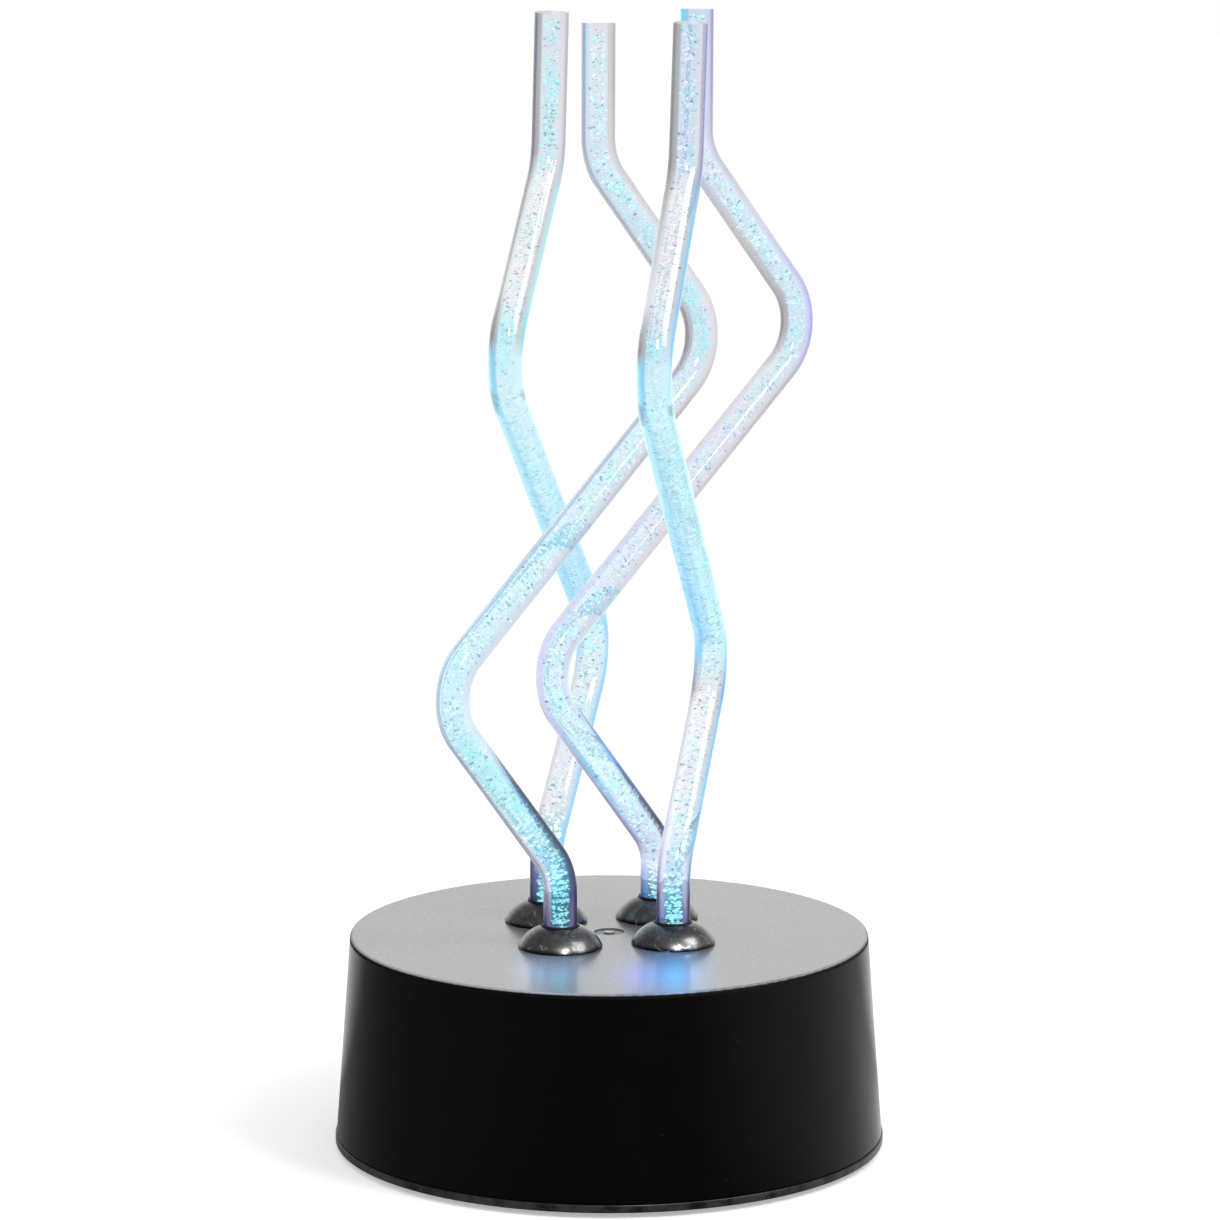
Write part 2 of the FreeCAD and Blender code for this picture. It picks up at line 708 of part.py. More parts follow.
def make_board():
    """The round circuit board with its controller chip and one resistor for each light."""
    board = new_body("led_board")
    column(board, "disc", "board_radius", "board_bottom", "board_top")
    for side, sign in (("cathode", "-"), ("anode", "+")):
        ring_of(board, bore(board, f"{side}_hole", "lead_hole_radius", "board_bottom", "board_top",
                            f"rod_ring_radius {sign} lead_pitch / 2"))
    ring_of(board, bore(board, "screw_hole", "board_screw_hole", "board_bottom", "board_top",
                        *around("board_post_ring", "45")))
    place(board, turn=FreeCAD.Rotation(FreeCAD.Vector(0, 0, 1), value("rod_ring_angle")))

    chip = new_body("controller_chip")
    block(chip, "package", "chip_length", "chip_width", "board_bottom - chip_height", "board_bottom")
    leg = block(chip, "leg", "chip_leg_width", "chip_width + 2 * chip_leg_reach",
                "board_bottom - chip_height / 2", "board_bottom", x="-3 / 2 * chip_leg_pitch")
    row_of(chip, leg, "X_Axis", "3 * chip_leg_pitch", 4)

    resistors = new_body("resistors", several=True)
    ring_of(resistors, block(resistors, "resistor", "resistor_length", "resistor_width",
                             "board_bottom - resistor_height", "board_bottom",
                             *around("resistor_ring", "rod_ring_angle")))


# ---- screws -----------------------------------------------------------------------------------------

def make_screws(label, kind, head_bottom, seat, tip, ring, angle, count=CORNERS):
    """Pan-head screws driven upward: the head's underside at seat, the point at tip."""
    body = new_body(label, several=count > 1)
    x, y = around(ring, angle)
    head = column(body, "head", f"{kind}_head_radius", head_bottom, seat, x, y)
    shank = column(body, "shank", f"{kind}_core_radius", head_bottom, tip, x, y)
    if count > 1:
        pattern = ring_of(body, head, count)
        pattern.Originals = [head, shank]
    return body


# ---- cells and contacts -------------------------------------------------------------------------------

def make_cells():
    """Three cells side by side, the middle one the other way round."""
    lay = {"left": ("-cell_pitch", 1), "middle": ("0", -1), "right": ("cell_pitch", 1)}
    for name, (x, way) in lay.items():
        cell = new_body(f"cell_{name}")
        shoulder = "cell_length - cell_nub_height"
        turned(cell, "can", [
            ("0", "0"), ("cell_diameter / 2 - cell_end_round", "0"), ("cell_diameter / 2", "cell_end_round"),
            ("cell_diameter / 2", f"{shoulder} - cell_end_round"),
            ("cell_diameter / 2 - cell_end_round", shoulder), ("cell_nub_radius", shoulder),
            ("cell_nub_radius", "cell_length"), ("0", "cell_length")],
            {1: ("cell_end_round", "right"), 3: ("cell_end_round", "right")})
        minus_end = "bay_length / 2 - contact_thickness - contact_end_gap - spring_length"
        tipped = FreeCAD.Rotation(FreeCAD.Vector(-way, 0, 0), 90)
        place(cell, x, f"{-way} * ({minus_end})", "cell_axis", tipped)


def contact_plate(body, name, length, x, end):
    """A plate that stands on edge against one end wall of the bay: end is -1 at the front, 1 at the back."""
    y = f"{end} * (bay_length - contact_thickness) / 2"
    return block(body, name, length, "contact_thickness", "cell_axis - contact_height / 2",
                 "cell_axis + contact_height / 2", x, y)


def contact_button(body, name, x, end):
    """The raised button that a cell's positive nub rests on."""
    depth = f"{-end} * (bay_length / 2 - contact_thickness)"
    sketch = sketch_on(body, name, x, "cell_axis", depth, "XZ_Plane")
    add_circle(sketch, "contact_button_radius")
    return pad(body, sketch, "contact_button_height", Reversed=end < 0)


def make_contacts():
    """The two terminals, the two bridging plates between cells, and the springs on the negative ends."""
    for name, x, end in (("negative", "-cell_pitch", -1), ("positive", "cell_pitch", 1)):
        body = new_body(f"contact_{name}")
        contact_plate(body, "plate", "contact_width", x, end)
        block(body, "terminal", "terminal_width", "contact_thickness", "cell_axis", "terminal_top", x,
              f"{end} * (bay_length - contact_thickness) / 2")
        if end > 0:
            contact_button(body, "button", x, end)

    bridges = new_body("contact_bridges", several=True)
    for name, x, end, button in (("back", "-cell_pitch / 2", 1, "-cell_pitch"),
                                 ("front", "cell_pitch / 2", -1, "0")):
        contact_plate(bridges, f"plate_{name}", "cell_pitch + contact_width", x, end)
        contact_button(bridges, f"button_{name}", button, end)


def make_springs():
    """Conical springs between the negative ends of the cells and their contact plates."""
    for name, x, end in (("left", "-cell_pitch", -1), ("middle", "0", 1), ("right", "cell_pitch", -1)):
        coil = doc.addObject("Part::Helix", f"spring_path_{name}")
        height = "spring_length - 2 * (spring_wire_radius + contact_end_gap)"
        bind(coil, "Height", height)
        bind(coil, "Pitch", f"({height}) / spring_turns")
        bind(coil, "Radius", "spring_tip_radius")
        bind(coil, "Angle", f"atan((spring_base_radius - spring_tip_radius) / ({height}))")
        coil.SegmentLength = 0.5
        doc.recompute()
        spring = sweep_round(f"contact_spring_{name}", coil, "spring_wire_radius")
        spring.Frenet = True
        start = "bay_length / 2 - contact_thickness - spring_length + spring_wire_radius"
        place(spring, x, f"{end} * ({start})", "cell_axis", FreeCAD.Rotation(FreeCAD.Vector(-end, 0, 0), 90))


# ---- battery door -------------------------------------------------------------------------------------

def make_door():
    """The door: two hooks on its hinge side, an ear for its screw on the other, and ribs under the cells."""
    door = new_body("battery_door")
    door_top = "foot_height + door_thickness"
    block(door, "panel", "recess_width - 2 * door_gap", "recess_length - 2 * door_gap", "foot_height",
          door_top)
    block(door, "ear_neck", "ear_offset + 2 * door_gap", "2 * ear_radius", "foot_height", door_top,
          x="recess_width / 2 + ear_offset / 2 - door_gap")
    column(door, "ear", "ear_radius", "foot_height", "foot_height + ear_depth", x="ear_place")
    bore(door, "screw_well", "well_radius", "foot_height", "door_seat", x="ear_place")
    bore(door, "screw_hole", "screw_thread_radius + shank_clearance", "door_seat",
         "foot_height + ear_depth", x="ear_place")
    for side, sign in (("front", "-"), ("back", "")):
        y = f"{sign}tab_spacing / 2"
        block(door, f"tab_stem_{side}", "tab_thickness", "tab_width", "foot_height", "tab_top",
              x="-bay_width / 2 + door_gap + tab_thickness / 2", y=y)
        block(door, f"tab_hook_{side}", "tab_hook + door_gap + tab_thickness", "tab_width", "tab_bottom",
              "tab_top", x="-bay_width / 2 - tab_hook + (tab_hook + door_gap + tab_thickness) / 2", y=y)
        block(door, f"cradle_rib_{side}", "2 * cell_pitch", "cradle_rib_thickness", "foot_height",
              "cell_axis - cell_diameter / 2 - cradle_rib_gap", y=f"{sign}cradle_rib_spacing / 2")
    groove = slot(door, "grip", "grip_groove", "grip_width", "foot_height", "foot_height + grip_depth",
                  x="bay_width / 2 - 3 * grip_pitch")
    row_of(door, groove, "X_Axis", "3 * grip_pitch", 4)


# ---- slide switch -------------------------------------------------------------------------------------

def make_switch():
    """The slide switch on its two posts: metal frame, terminal base with pins, and the sliding knob."""
    frame = new_body("switch_frame")
    block(frame, "plate", "switch_frame_length", "switch_width", "frame_bottom", "frame_top")
    block(frame, "can", "switch_can_length", "switch_width", "frame_top", "can_top")
    slot(frame, "can_room", "switch_can_length - 2 * switch_plate_thickness",
         "switch_width - 2 * switch_plate_thickness", "frame_top", "can_top")
    slot(frame, "stem_way", "switch_slot_length", "switch_slot_width", "frame_bottom", "frame_top")
    for side, sign in (("left", "-"), ("right", "")):
        bore(frame, f"ear_hole_{side}", "small_thread_radius", "frame_bottom", "frame_top",
             x=f"{sign}switch_screw_pitch / 2")
    place(frame, y="switch_place")

    base = new_body("switch_base")
    block(base, "wafer", "switch_can_length", "switch_width", "can_top", "can_top + switch_base_height")
    pin = block(base, "pin", "switch_pin_width", "contact_thickness", "can_top", "pin_top",
                x="-switch_pin_pitch")
    row_of(base, pin, "X_Axis", "2 * switch_pin_pitch", 3)
    place(base, y="switch_place")

    knob = new_body("switch_knob")
    block(knob, "shoe", "knob_flange_length", "knob_flange_width", "knob_shoulder",
          "knob_shoulder + knob_flange_height")
    block(knob, "stem", "knob_length", "knob_width", "knob_bottom", "knob_shoulder")
    place(knob, "switch_travel / 2", "switch_place")

    screws = new_body("switch_screws", several=True)
    for side, sign in (("left", "-"), ("right", "")):
        x = f"{sign}switch_screw_pitch / 2"
        column(screws, f"head_{side}", "small_head_radius", "frame_top", "frame_top + small_head_height", x)
        column(screws, f"shank_{side}", "small_core_radius", "frame_bottom - switch_screw_grip",
               "frame_top", x)
    place(screws, y="switch_place")


# ---- wires --------------------------------------------------------------------------------------------

def wire_radius_at(run, angle):
    """As large an arc as the shorter run leaves room for."""
    return 0.45 * run / math.tan(angle / 2)


def make_wires():
    """Stranded leads from the terminals to the switch and the board. Each leaves its terminal upward."""
    terminal_y = "(bay_length - contact_thickness) / 2"
    routes = {
        "wire_negative": [
            ("-cell_pitch", f"-{terminal_y}", "terminal_top"),
            ("-cell_pitch", f"-{terminal_y}", "terminal_top + 8"),
            ("-19.5", "-33.5", "38.5"), ("-28", "-38", "38"), ("-37", "-34", "33"), ("-40", "-24", "28"),
            ("-34", "-14", "26"), ("-26", "-9", "28"), ("-21.5", "-7.5", "board_bottom - 7.5"),
            ("-21.5", "-7.5", "board_bottom")],
        "wire_positive": [
            ("cell_pitch", terminal_y, "terminal_top"), ("cell_pitch", terminal_y, "terminal_top + 7"),
            ("15.6", "33", "36.5"), ("15.2", "40.5", "38"), ("12", "48", "34"), ("7.5", "51.5", "27"),
            ("switch_pin_pitch", "switch_place", "pin_top + 6.2"),
            ("switch_pin_pitch", "switch_place", "pin_top")],
        "wire_switch": [
            ("0", "switch_place", "pin_top"), ("0", "switch_place", "pin_top + 7"),
            ("-4.5", "52", "28"), ("-11", "51", "32"), ("-17", "45.5", "33"), ("-18.5", "37.5", "30"),
            ("-15", "30.5", "28.5"), ("-12", "24.5", "board_bottom - 7.5"), ("-12", "24.5", "board_bottom")],
    }
    for name, route in routes.items():
        points = [FreeCAD.Vector(*(value(text) for text in corner)) for corner in route]
        path = bent_path(f"{name}_path", points, wire_radius_at)
        sweep_round(name, path, "wire_radius")
        radii = [edge.Curve.Radius for edge in path.Shape.Edges if isinstance(edge.Curve, Part.Circle)]
        print(f"{name}: {path.Shape.Length:.0f} mm long, bends of {min(radii):.1f} to {max(radii):.1f} mm")


# ---- assembly -----------------------------------------------------------------------------------------

make_housing()
make_bottom_cover()
make_feet()
make_rods()
make_lights()
make_board()
make_cells()
make_contacts()
make_springs()
make_door()
make_switch()
make_screws("case_screws", "screw", "well_seat - screw_head_height", "well_seat",
            "well_seat + case_screw_length", "case_screw_ring", "case_screw_angle")
make_screws("board_screws", "small", "board_bottom - small_head_height", "board_bottom",
            "board_bottom + board_screw_length", "board_post_ring", "rod_ring_angle + 45")
make_screws("door_screw", "screw", "door_seat - screw_head_height", "door_seat",
            "door_seat + door_screw_length", "ear_place", "0", count=1)
make_wires()
doc.recompute()

for thing in doc.Objects:
    if "Invalid" in thing.State or "Error" in thing.State:
        raise RuntimeError(f"{thing.Name} did not build: {thing.State}")
for part in SUBPARTS:
    if part.Shape.isNull() or not part.Shape.isValid():
        raise RuntimeError(f"{part.Label} has no valid shape")

os.makedirs("parts", exist_ok=True)
for part in SUBPARTS:
    part.Shape.exportStep(os.path.join("parts", part.Label + ".step"))
    print(f"{part.Label:28s} {len(part.Shape.Solids):2d} solids {part.Shape.Volume:12.2f} mm3")
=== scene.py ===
"""Looks of a battery table lamp: four bent acrylic bubble rods on a black drum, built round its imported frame.

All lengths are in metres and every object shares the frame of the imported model: Z up, origin under the drum's
centre on the plane of the feet, +Y to the back.
"""
import logging
import math
from collections.abc import Callable
from dataclasses import dataclass, field
from enum import Enum

import bpy
from mathutils import Matrix, Vector


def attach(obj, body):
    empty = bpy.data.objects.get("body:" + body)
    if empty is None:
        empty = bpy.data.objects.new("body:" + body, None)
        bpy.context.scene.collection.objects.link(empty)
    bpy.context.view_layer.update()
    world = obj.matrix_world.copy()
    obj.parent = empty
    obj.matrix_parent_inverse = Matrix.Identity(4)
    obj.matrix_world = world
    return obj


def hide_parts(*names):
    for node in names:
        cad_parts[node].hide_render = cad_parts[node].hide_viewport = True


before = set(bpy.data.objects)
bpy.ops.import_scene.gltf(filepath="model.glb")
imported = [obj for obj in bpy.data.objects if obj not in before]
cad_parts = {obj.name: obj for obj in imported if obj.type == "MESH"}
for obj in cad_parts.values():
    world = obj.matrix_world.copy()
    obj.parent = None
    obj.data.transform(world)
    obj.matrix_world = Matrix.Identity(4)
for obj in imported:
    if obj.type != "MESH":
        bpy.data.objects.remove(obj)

LOG = logging.getLogger("rod_lamp")
MM = 0.001
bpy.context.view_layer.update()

Colour = tuple[float, float, float]
Socket = bpy.types.NodeSocket
BLACK: Colour = (0.0, 0.0, 0.0)
WHITE: Colour = (1.0, 1.0, 1.0)


class Body(Enum):
    """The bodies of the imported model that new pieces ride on."""

    ROOT = "root"


# ---- node helpers ----


class Graph:
    """Short calls for building the nodes of one tree."""

    def __init__(self, tree: bpy.types.NodeTree) -> None:
        """Starts on a tree."""
        self.tree = tree

    def node(self, kind: str, feeds: dict[str, object] | None = None, **settings: object) -> bpy.types.Node:
        """Adds a node.

        Args:
            kind: the node's type name.
            feeds: a socket or a constant for each input, by the input's name or identifier.
            **settings: properties of the node by name.

        Returns:
            The new node.
        """
        node = self.tree.nodes.new(kind)
        for name, setting in settings.items():
            setattr(node, name, setting)
        for name, source in (feeds or {}).items():
            target = next(put for put in node.inputs if put.enabled and name in (put.name, put.identifier))
            self.feed(target, source)
        return node

    def feed(self, target: Socket, source: object) -> None:
        """Links a socket to another, or sets it to a constant.

        Args:
            target: the input socket.
            source: an output socket, or the constant to set.
        """
        if isinstance(source, bpy.types.NodeSocket):
            self.tree.links.new(source, target)
        else:
            target.default_value = (*source, 1.0) if target.type == "RGBA" else source

    def fill(self, node: bpy.types.Node, *sources: object) -> Socket:
        """Feeds a node's inputs in order.

        Args:
            node: the node.
            *sources: sockets or constants.

        Returns:
            The node's first output that is in use.
        """
        for target, source in zip(node.inputs, sources):
            self.feed(target, source)
        return next(output for output in node.outputs if output.enabled)

    def value(self, operation: str, *inputs: object, clamp: bool = False) -> Socket:
        """Adds a Math node and returns its result, held between 0 and 1 if it is clamped."""
        return self.fill(self.node("ShaderNodeMath", operation=operation, use_clamp=clamp), *inputs)

    def out(self, kind: str, feeds: dict[str, object] | None = None, **settings: object) -> Socket:
        """Adds a node and returns its first output that is in use."""
        return self.fill(self.node(kind, feeds, **settings))

    def times(self, first: object, second: object) -> Socket:
        """Multiplies two numbers."""
        return self.value("MULTIPLY", first, second)

    def plus(self, first: object, second: object) -> Socket:
        """Adds two numbers."""
        return self.value("ADD", first, second)

    def less(self, first: object, second: object) -> Socket:
        """Takes the second number from the first."""
        return self.value("SUBTRACT", first, second)

    def vector(self, operation: str, *inputs: object) -> Socket:
        """Adds a Vector Math node and returns its result."""
        return self.fill(self.node("ShaderNodeVectorMath", operation=operation), *inputs)

    def blend(self, amount: object, first: object, second: object, how: str = "MIX") -> Socket:
        """Mixes two colours: an amount of 0 gives the first alone, and 1 the whole mix."""
        return self.out("ShaderNodeMix", {"Factor_Float": amount, "A_Color": first, "B_Color": second},
                        data_type="RGBA", blend_type=how)

    def ramp(self, amount: Socket, stops: list[tuple[float, Colour]]) -> Socket:
        """Turns a value into a colour through stops.

        Args:
            amount: the value.
            stops: places from 0 to 1 and their colours.

        Returns:
            The colour.
        """
        node = self.node("ShaderNodeValToRGB", {"Fac": amount})
        elements = node.color_ramp.elements
        while len(elements) < len(stops):
            elements.new(1.0)
        for element, (place, colour) in zip(elements, stops):
            element.position = place
            element.color = (*colour, 1.0)
        return node.outputs["Color"]

    def span(self, amount: Socket, low: float, high: float,
             to_low: object = 0.0, to_high: float = 1.0) -> Socket:
        """Maps low and high smoothly to to_low and to_high, and holds what lies past them."""
        node = self.node("ShaderNodeMapRange", interpolation_type="SMOOTHSTEP")
        return self.fill(node, amount, low, high, to_low, to_high)

    def noise(self, place: Socket, scale: object, detail: float = 2.0, roughness: float = 0.5) -> Socket:
        """Adds noise: waves to the metre, octaves, and the weight of the finer ones."""
        return self.out("ShaderNodeTexNoise", {
            "Vector": place, "Scale": scale, "Detail": detail, "Roughness": roughness})

    def bump(self, height: Socket, strength: object, distance: float) -> Socket:
        """Turns a height into a bumped normal."""
        return self.out("ShaderNodeBump", {"Height": height, "Strength": strength, "Distance": distance})

    def place(self) -> Socket:
        """Object coordinates, which are the lamp's own metres."""
        return self.node("ShaderNodeTexCoord").outputs["Object"]

    def attribute(self, name: str) -> Socket:
        """Reads a number that the mesh stores."""
        return self.node("ShaderNodeAttribute", attribute_name=name).outputs["Fac"]

    def axes(self, place: Socket) -> tuple[Socket, Socket, Socket]:
        """Splits coordinates into X, Y and Z."""
        return tuple(self.node("ShaderNodeSeparateXYZ", {"Vector": place}).outputs)

    def group(self, tree: bpy.types.NodeTree, **inputs: object) -> bpy.types.NodeOutputs:
        """Places a shared group, with values for its inputs by name (an underscore for a space)."""
        feeds = {name.replace("_", " "): source for name, source in inputs.items()}
        return self.node("ShaderNodeGroup", feeds, node_tree=tree).outputs


# ---- shared effects ----


def new_group(name: str, inputs: dict[str, float],
              outputs: dict[str, str]) -> tuple[Graph, bpy.types.NodeOutputs, bpy.types.NodeInputs]:
    """Starts a shader group.

    Args:
        name: the group's name.
        inputs: its number inputs and their defaults.
        outputs: its outputs and their kinds.

    Returns:
        The graph to build in, what the group is given and what it puts out.
    """
    tree = bpy.data.node_groups.new(name, "ShaderNodeTree")
    for label, default in inputs.items():
        tree.interface.new_socket(label, in_out="INPUT", socket_type="NodeSocketFloat").default_value = default
    for label, kind in outputs.items():
        tree.interface.new_socket(label, in_out="OUTPUT", socket_type="NodeSocket" + kind)
    graph = Graph(tree)
    return graph, graph.node("NodeGroupInput").outputs, graph.node("NodeGroupOutput").inputs


def build_moulded_grain() -> bpy.types.NodeTree:
    """The fine spark-eroded grain of moulded plastic.

    Returns:
        A group that puts out a bumped normal and a slow mottle.
    """
    graph, given, put = new_group(
        "moulded grain", {"Scale": 1800.0, "Depth": 0.3}, {"Normal": "Vector", "Mottle": "Float"})
    place = graph.place()
    graph.feed(put["Normal"], graph.bump(graph.noise(place, given["Scale"], 3.0), given["Depth"], 0.02 * MM))
    graph.feed(put["Mottle"], graph.noise(place, 60.0, 3.0, 0.6))
    return graph.tree


def build_dust() -> bpy.types.NodeTree:
    """Sparse pale specks of dust.

    Returns:
        A group that puts out a mask, 1 on a speck.
    """
    graph, given, put = new_group("dust", {"Scale": 260.0, "Amount": 0.06}, {"Mask": "Float"})
    place = graph.place()
    cells = graph.node("ShaderNodeTexVoronoi", {"Vector": place, "Scale": given["Scale"]}, feature="F1")
    near = graph.value("LESS_THAN", cells.outputs["Distance"], given["Amount"])
    some = graph.value("GREATER_THAN", graph.noise(place, 35.0, 1.0), 0.56)
    graph.feed(put["Mask"], graph.times(near, some))
    return graph.tree


def build_rim_wear_and_highlight() -> bpy.types.NodeTree:
    """A broken pale band along a round edge about the lamp's axis: wear on the cover's flange, a painted
    highlight on the drum's top edge.

    Returns:
        A group that puts out a mask, 1 on the pale band.
    """
    graph, given, put = new_group(
        "rim wear and highlight", {"Radius": 82.0 * MM, "Reach": 0.5 * MM, "Least": 0.0}, {"Mask": "Float"})
    place = graph.place()
    x, y, _ = graph.axes(place)
    squares = graph.plus(graph.value("POWER", x, 2.0), graph.value("POWER", y, 2.0))
    past = graph.less(graph.value("SQRT", squares), given["Radius"])
    near = graph.value("DIVIDE", past, given["Reach"], clamp=True)
    patchy = graph.span(graph.noise(place, 120.0, 4.0, 0.65), 0.36, 0.60, given["Least"], 1.0)
    graph.feed(put["Mask"], graph.times(near, patchy))
    return graph.tree


def build_tint() -> bpy.types.NodeTree:
    """Slow patches of aqua and rose in the bubble cores.

    Returns:
        A group that puts out a colour near white.
    """
    graph, _, put = new_group("core tint", {}, {"Tint": "Color"})
    graph.feed(put["Tint"], graph.ramp(graph.noise(graph.place(), 150.0), [
        (0.38, (0.89, 1.01, 1.01)), (0.48, WHITE), (0.64, (1.02, 0.965, 1.0))]))
    return graph.tree


def build_surround() -> bpy.types.NodeTree:
    """How bright the studio is each way round: white behind the lamp and to its right, dim in front and left.

    Returns:
        A group that turns the two level parts of a direction into a brightness.
    """
    graph, given, put = new_group("surround", {"To Right": 0.0, "To Back": 0.0}, {"Brightness": "Float"})
    right = graph.span(given["To Right"], 0.5, 1.0, 0.14, 0.88)
    left = graph.span(given["To Right"], -0.2, -0.9, 0.14, 0.28)
    behind = graph.span(given["To Back"], 0.42, 0.80)
    graph.feed(put["Brightness"], graph.value("MAXIMUM", behind, graph.value("MAXIMUM", left, right)))
    return graph.tree


@dataclass
class Effects:
    """The shader groups that several finishes share."""

    grain: bpy.types.NodeTree = field(default_factory=build_moulded_grain)
    dust: bpy.types.NodeTree = field(default_factory=build_dust)
    rim: bpy.types.NodeTree = field(default_factory=build_rim_wear_and_highlight)
    tint: bpy.types.NodeTree = field(default_factory=build_tint)
    surround: bpy.types.NodeTree = field(default_factory=build_surround)


# ---- finishes ----


@dataclass
class Bench:
    """A material under work: its graph, its Principled shader and the effects that finishes share."""

    graph: Graph
    shader: bpy.types.Node
    effects: Effects

    def feed(self, **inputs: object) -> None:
        """Feeds the shader's inputs, spaces in their names written as underscores."""
        for name, source in inputs.items():
            self.graph.feed(self.shader.inputs[name.replace("_", " ")], source)

    def so_far(self, name: str) -> Socket:
        """What an input of the shader is linked to so far."""
        return self.shader.inputs[name].links[0].from_socket

    def cover(self, mask: Socket, colour: object) -> None:
        """Lays a colour over the base colour so far, where the mask is 1."""
        self.feed(Base_Color=self.graph.blend(mask, self.so_far("Base Color"), colour))


@dataclass(frozen=True)
class Finish:
    """A finish that dresses a surface with one material."""

    name: str

    def build(self, effects: Effects) -> bpy.types.Material:
        """Makes the material.

        Args:
            effects: the shared groups.

        Returns:
            The material.
        """
        material = bpy.data.materials.new(self.name)
        material.use_nodes = True
        self.paint(Bench(Graph(material.node_tree), material.node_tree.nodes["Principled BSDF"], effects))
        return material

    def paint(self, bench: Bench) -> None:
        """Builds the nodes of the material on the bench, as each finish has them."""
        raise NotImplementedError


@dataclass(frozen=True)
class MouldedPlastic(Finish):
    """Moulded plastic or rubber with a fine grain, a slow mottle and a few specks of dust."""

    colour: Colour
    roughness: float
    grain_scale: float = 1800.0
    grain_depth: float = 0.3
    dust: float = 0.05
    dust_colour: Colour = (0.09, 0.09, 0.092)
    ior: float = 1.5
    mottle: float = 0.004
    mottle_gain: float = 1.6
    sheen_spread: float = 0.03

    def paint(self, bench: Bench) -> None:
        """Builds the nodes of the material.

        Args:
            bench: the material under work.
        """
        graph = bench.graph
        grain = graph.group(bench.effects.grain, Scale=self.grain_scale, Depth=self.grain_depth)
        dust = graph.group(bench.effects.dust, Amount=self.dust)
        lighter = tuple(min(1.0, self.mottle_gain * part + self.mottle) for part in self.colour)
        toned = graph.blend(grain["Mottle"], self.colour, lighter)
        rough = graph.span(
            grain["Mottle"], 0.3, 0.7, self.roughness - self.sheen_spread, self.roughness + self.sheen_spread)
        bench.feed(Base_Color=graph.blend(dust["Mask"], toned, self.dust_colour), Roughness=rough,
                   Normal=grain["Normal"], IOR=self.ior)


@dataclass(frozen=True)
class LightSpill:
    """A soft patch of coloured light on the drum's top: its centre, its reach and its colour."""

    x: float
    y: float
    reach_x: float
    reach_y: float
    colour: Colour
    strength: float


@dataclass(frozen=True)
class DrumPlastic(MouldedPlastic):
    """The drum's smooth black side and its hazier satin top, with the light that the rods throw on it.

    The top's colour is a painted sheen, lighter than the side, and starts under its rounded edge. Its coat
    covers the flat alone. The edge is painted pale as a highlight, and rough.
    """

    top: float = 64.6 * MM
    edge_drop: float = 0.5 * MM
    flat_drop: float = 0.1 * MM
    top_sheen_colour: Colour = (0.13, 0.13, 0.133)
    top_sheen_fleck: Colour = (0.24, 0.24, 0.243)
    top_gloss: tuple[float, float] = (0.86, 1.0)
    top_roughness: float = 0.26
    top_ior: float = 2.4
    rim_radius: float = 76.7 * MM
    rim_highlight_colour: Colour = (0.40, 0.40, 0.41)
    rim_roughness: float = 0.7
    spills: tuple[LightSpill, ...] = ()

    def paint(self, bench: Bench) -> None:
        """Builds the nodes of the material.

        Args:
            bench: the material under work.
        """
        super().paint(bench)
        graph = bench.graph
        place = graph.place()
        x, y, z = graph.axes(place)
        on_top = graph.value("GREATER_THAN", z, self.top - self.edge_drop)
        light: Socket | Colour = BLACK
        for spill in self.spills:
            across = graph.value("DIVIDE", graph.less(x, spill.x), spill.reach_x)
            along = graph.value("DIVIDE", graph.less(y, spill.y), spill.reach_y)
            far = graph.plus(graph.value("POWER", across, 2.0), graph.value("POWER", along, 2.0))
            near = graph.value("EXPONENT", graph.times(far, -1.0))
            lit = graph.times(graph.times(near, spill.strength), on_top)
            light = graph.blend(1.0, light, graph.blend(lit, BLACK, spill.colour), "ADD")
        haze = graph.span(graph.noise(place, 650.0, 4.0, 0.75), 0.36, 0.64, *self.top_gloss)
        flecks = graph.span(graph.noise(place, 1500.0, 3.0, 0.7), 0.38, 0.66)
        edge = graph.group(bench.effects.rim, Radius=self.rim_radius, Least=0.8)["Mask"]
        near_top = graph.span(z, self.top - self.edge_drop, self.top - 0.08 * MM)
        on_rim = graph.times(edge, near_top)
        flat = graph.times(graph.value("GREATER_THAN", z, self.top - self.flat_drop),
                           graph.less(1.0, on_rim))
        rough_height = graph.span(z, self.top - 1.9 * MM, self.top - 1.2 * MM, 0.0, self.rim_roughness)
        rough_rim = graph.times(edge, rough_height)
        # painted sheen: the top's base colour is lighter than the side's, standing in for the grazing
        # reflection on it
        bench.cover(on_top, graph.blend(flecks, self.top_sheen_colour, self.top_sheen_fleck))
        # painted highlight: the top edge's fillet is coloured pale, as the light catches it
        bench.cover(on_rim, self.rim_highlight_colour)
        bench.feed(Roughness=graph.value("MAXIMUM", bench.so_far("Roughness"), rough_rim),
                   Coat_Weight=graph.times(flat, haze), Coat_Roughness=self.top_roughness,
                   Coat_IOR=self.top_ior, Emission_Color=light, Emission_Strength=1.0)


@dataclass(frozen=True)
class CoverPlastic(MouldedPlastic):
    """The bottom cover's plastic, rubbed pale along its flange."""

    rim_radius: float = 82.2 * MM
    rim_reach: float = 0.3 * MM
    rubbed: Colour = (0.045, 0.045, 0.045)

    def paint(self, bench: Bench) -> None:
        """Builds the nodes of the material.

        Args:
            bench: the material under work.
        """
        super().paint(bench)
        worn = bench.graph.group(bench.effects.rim, Radius=self.rim_radius, Reach=self.rim_reach)
        bench.cover(worn["Mask"], self.rubbed)


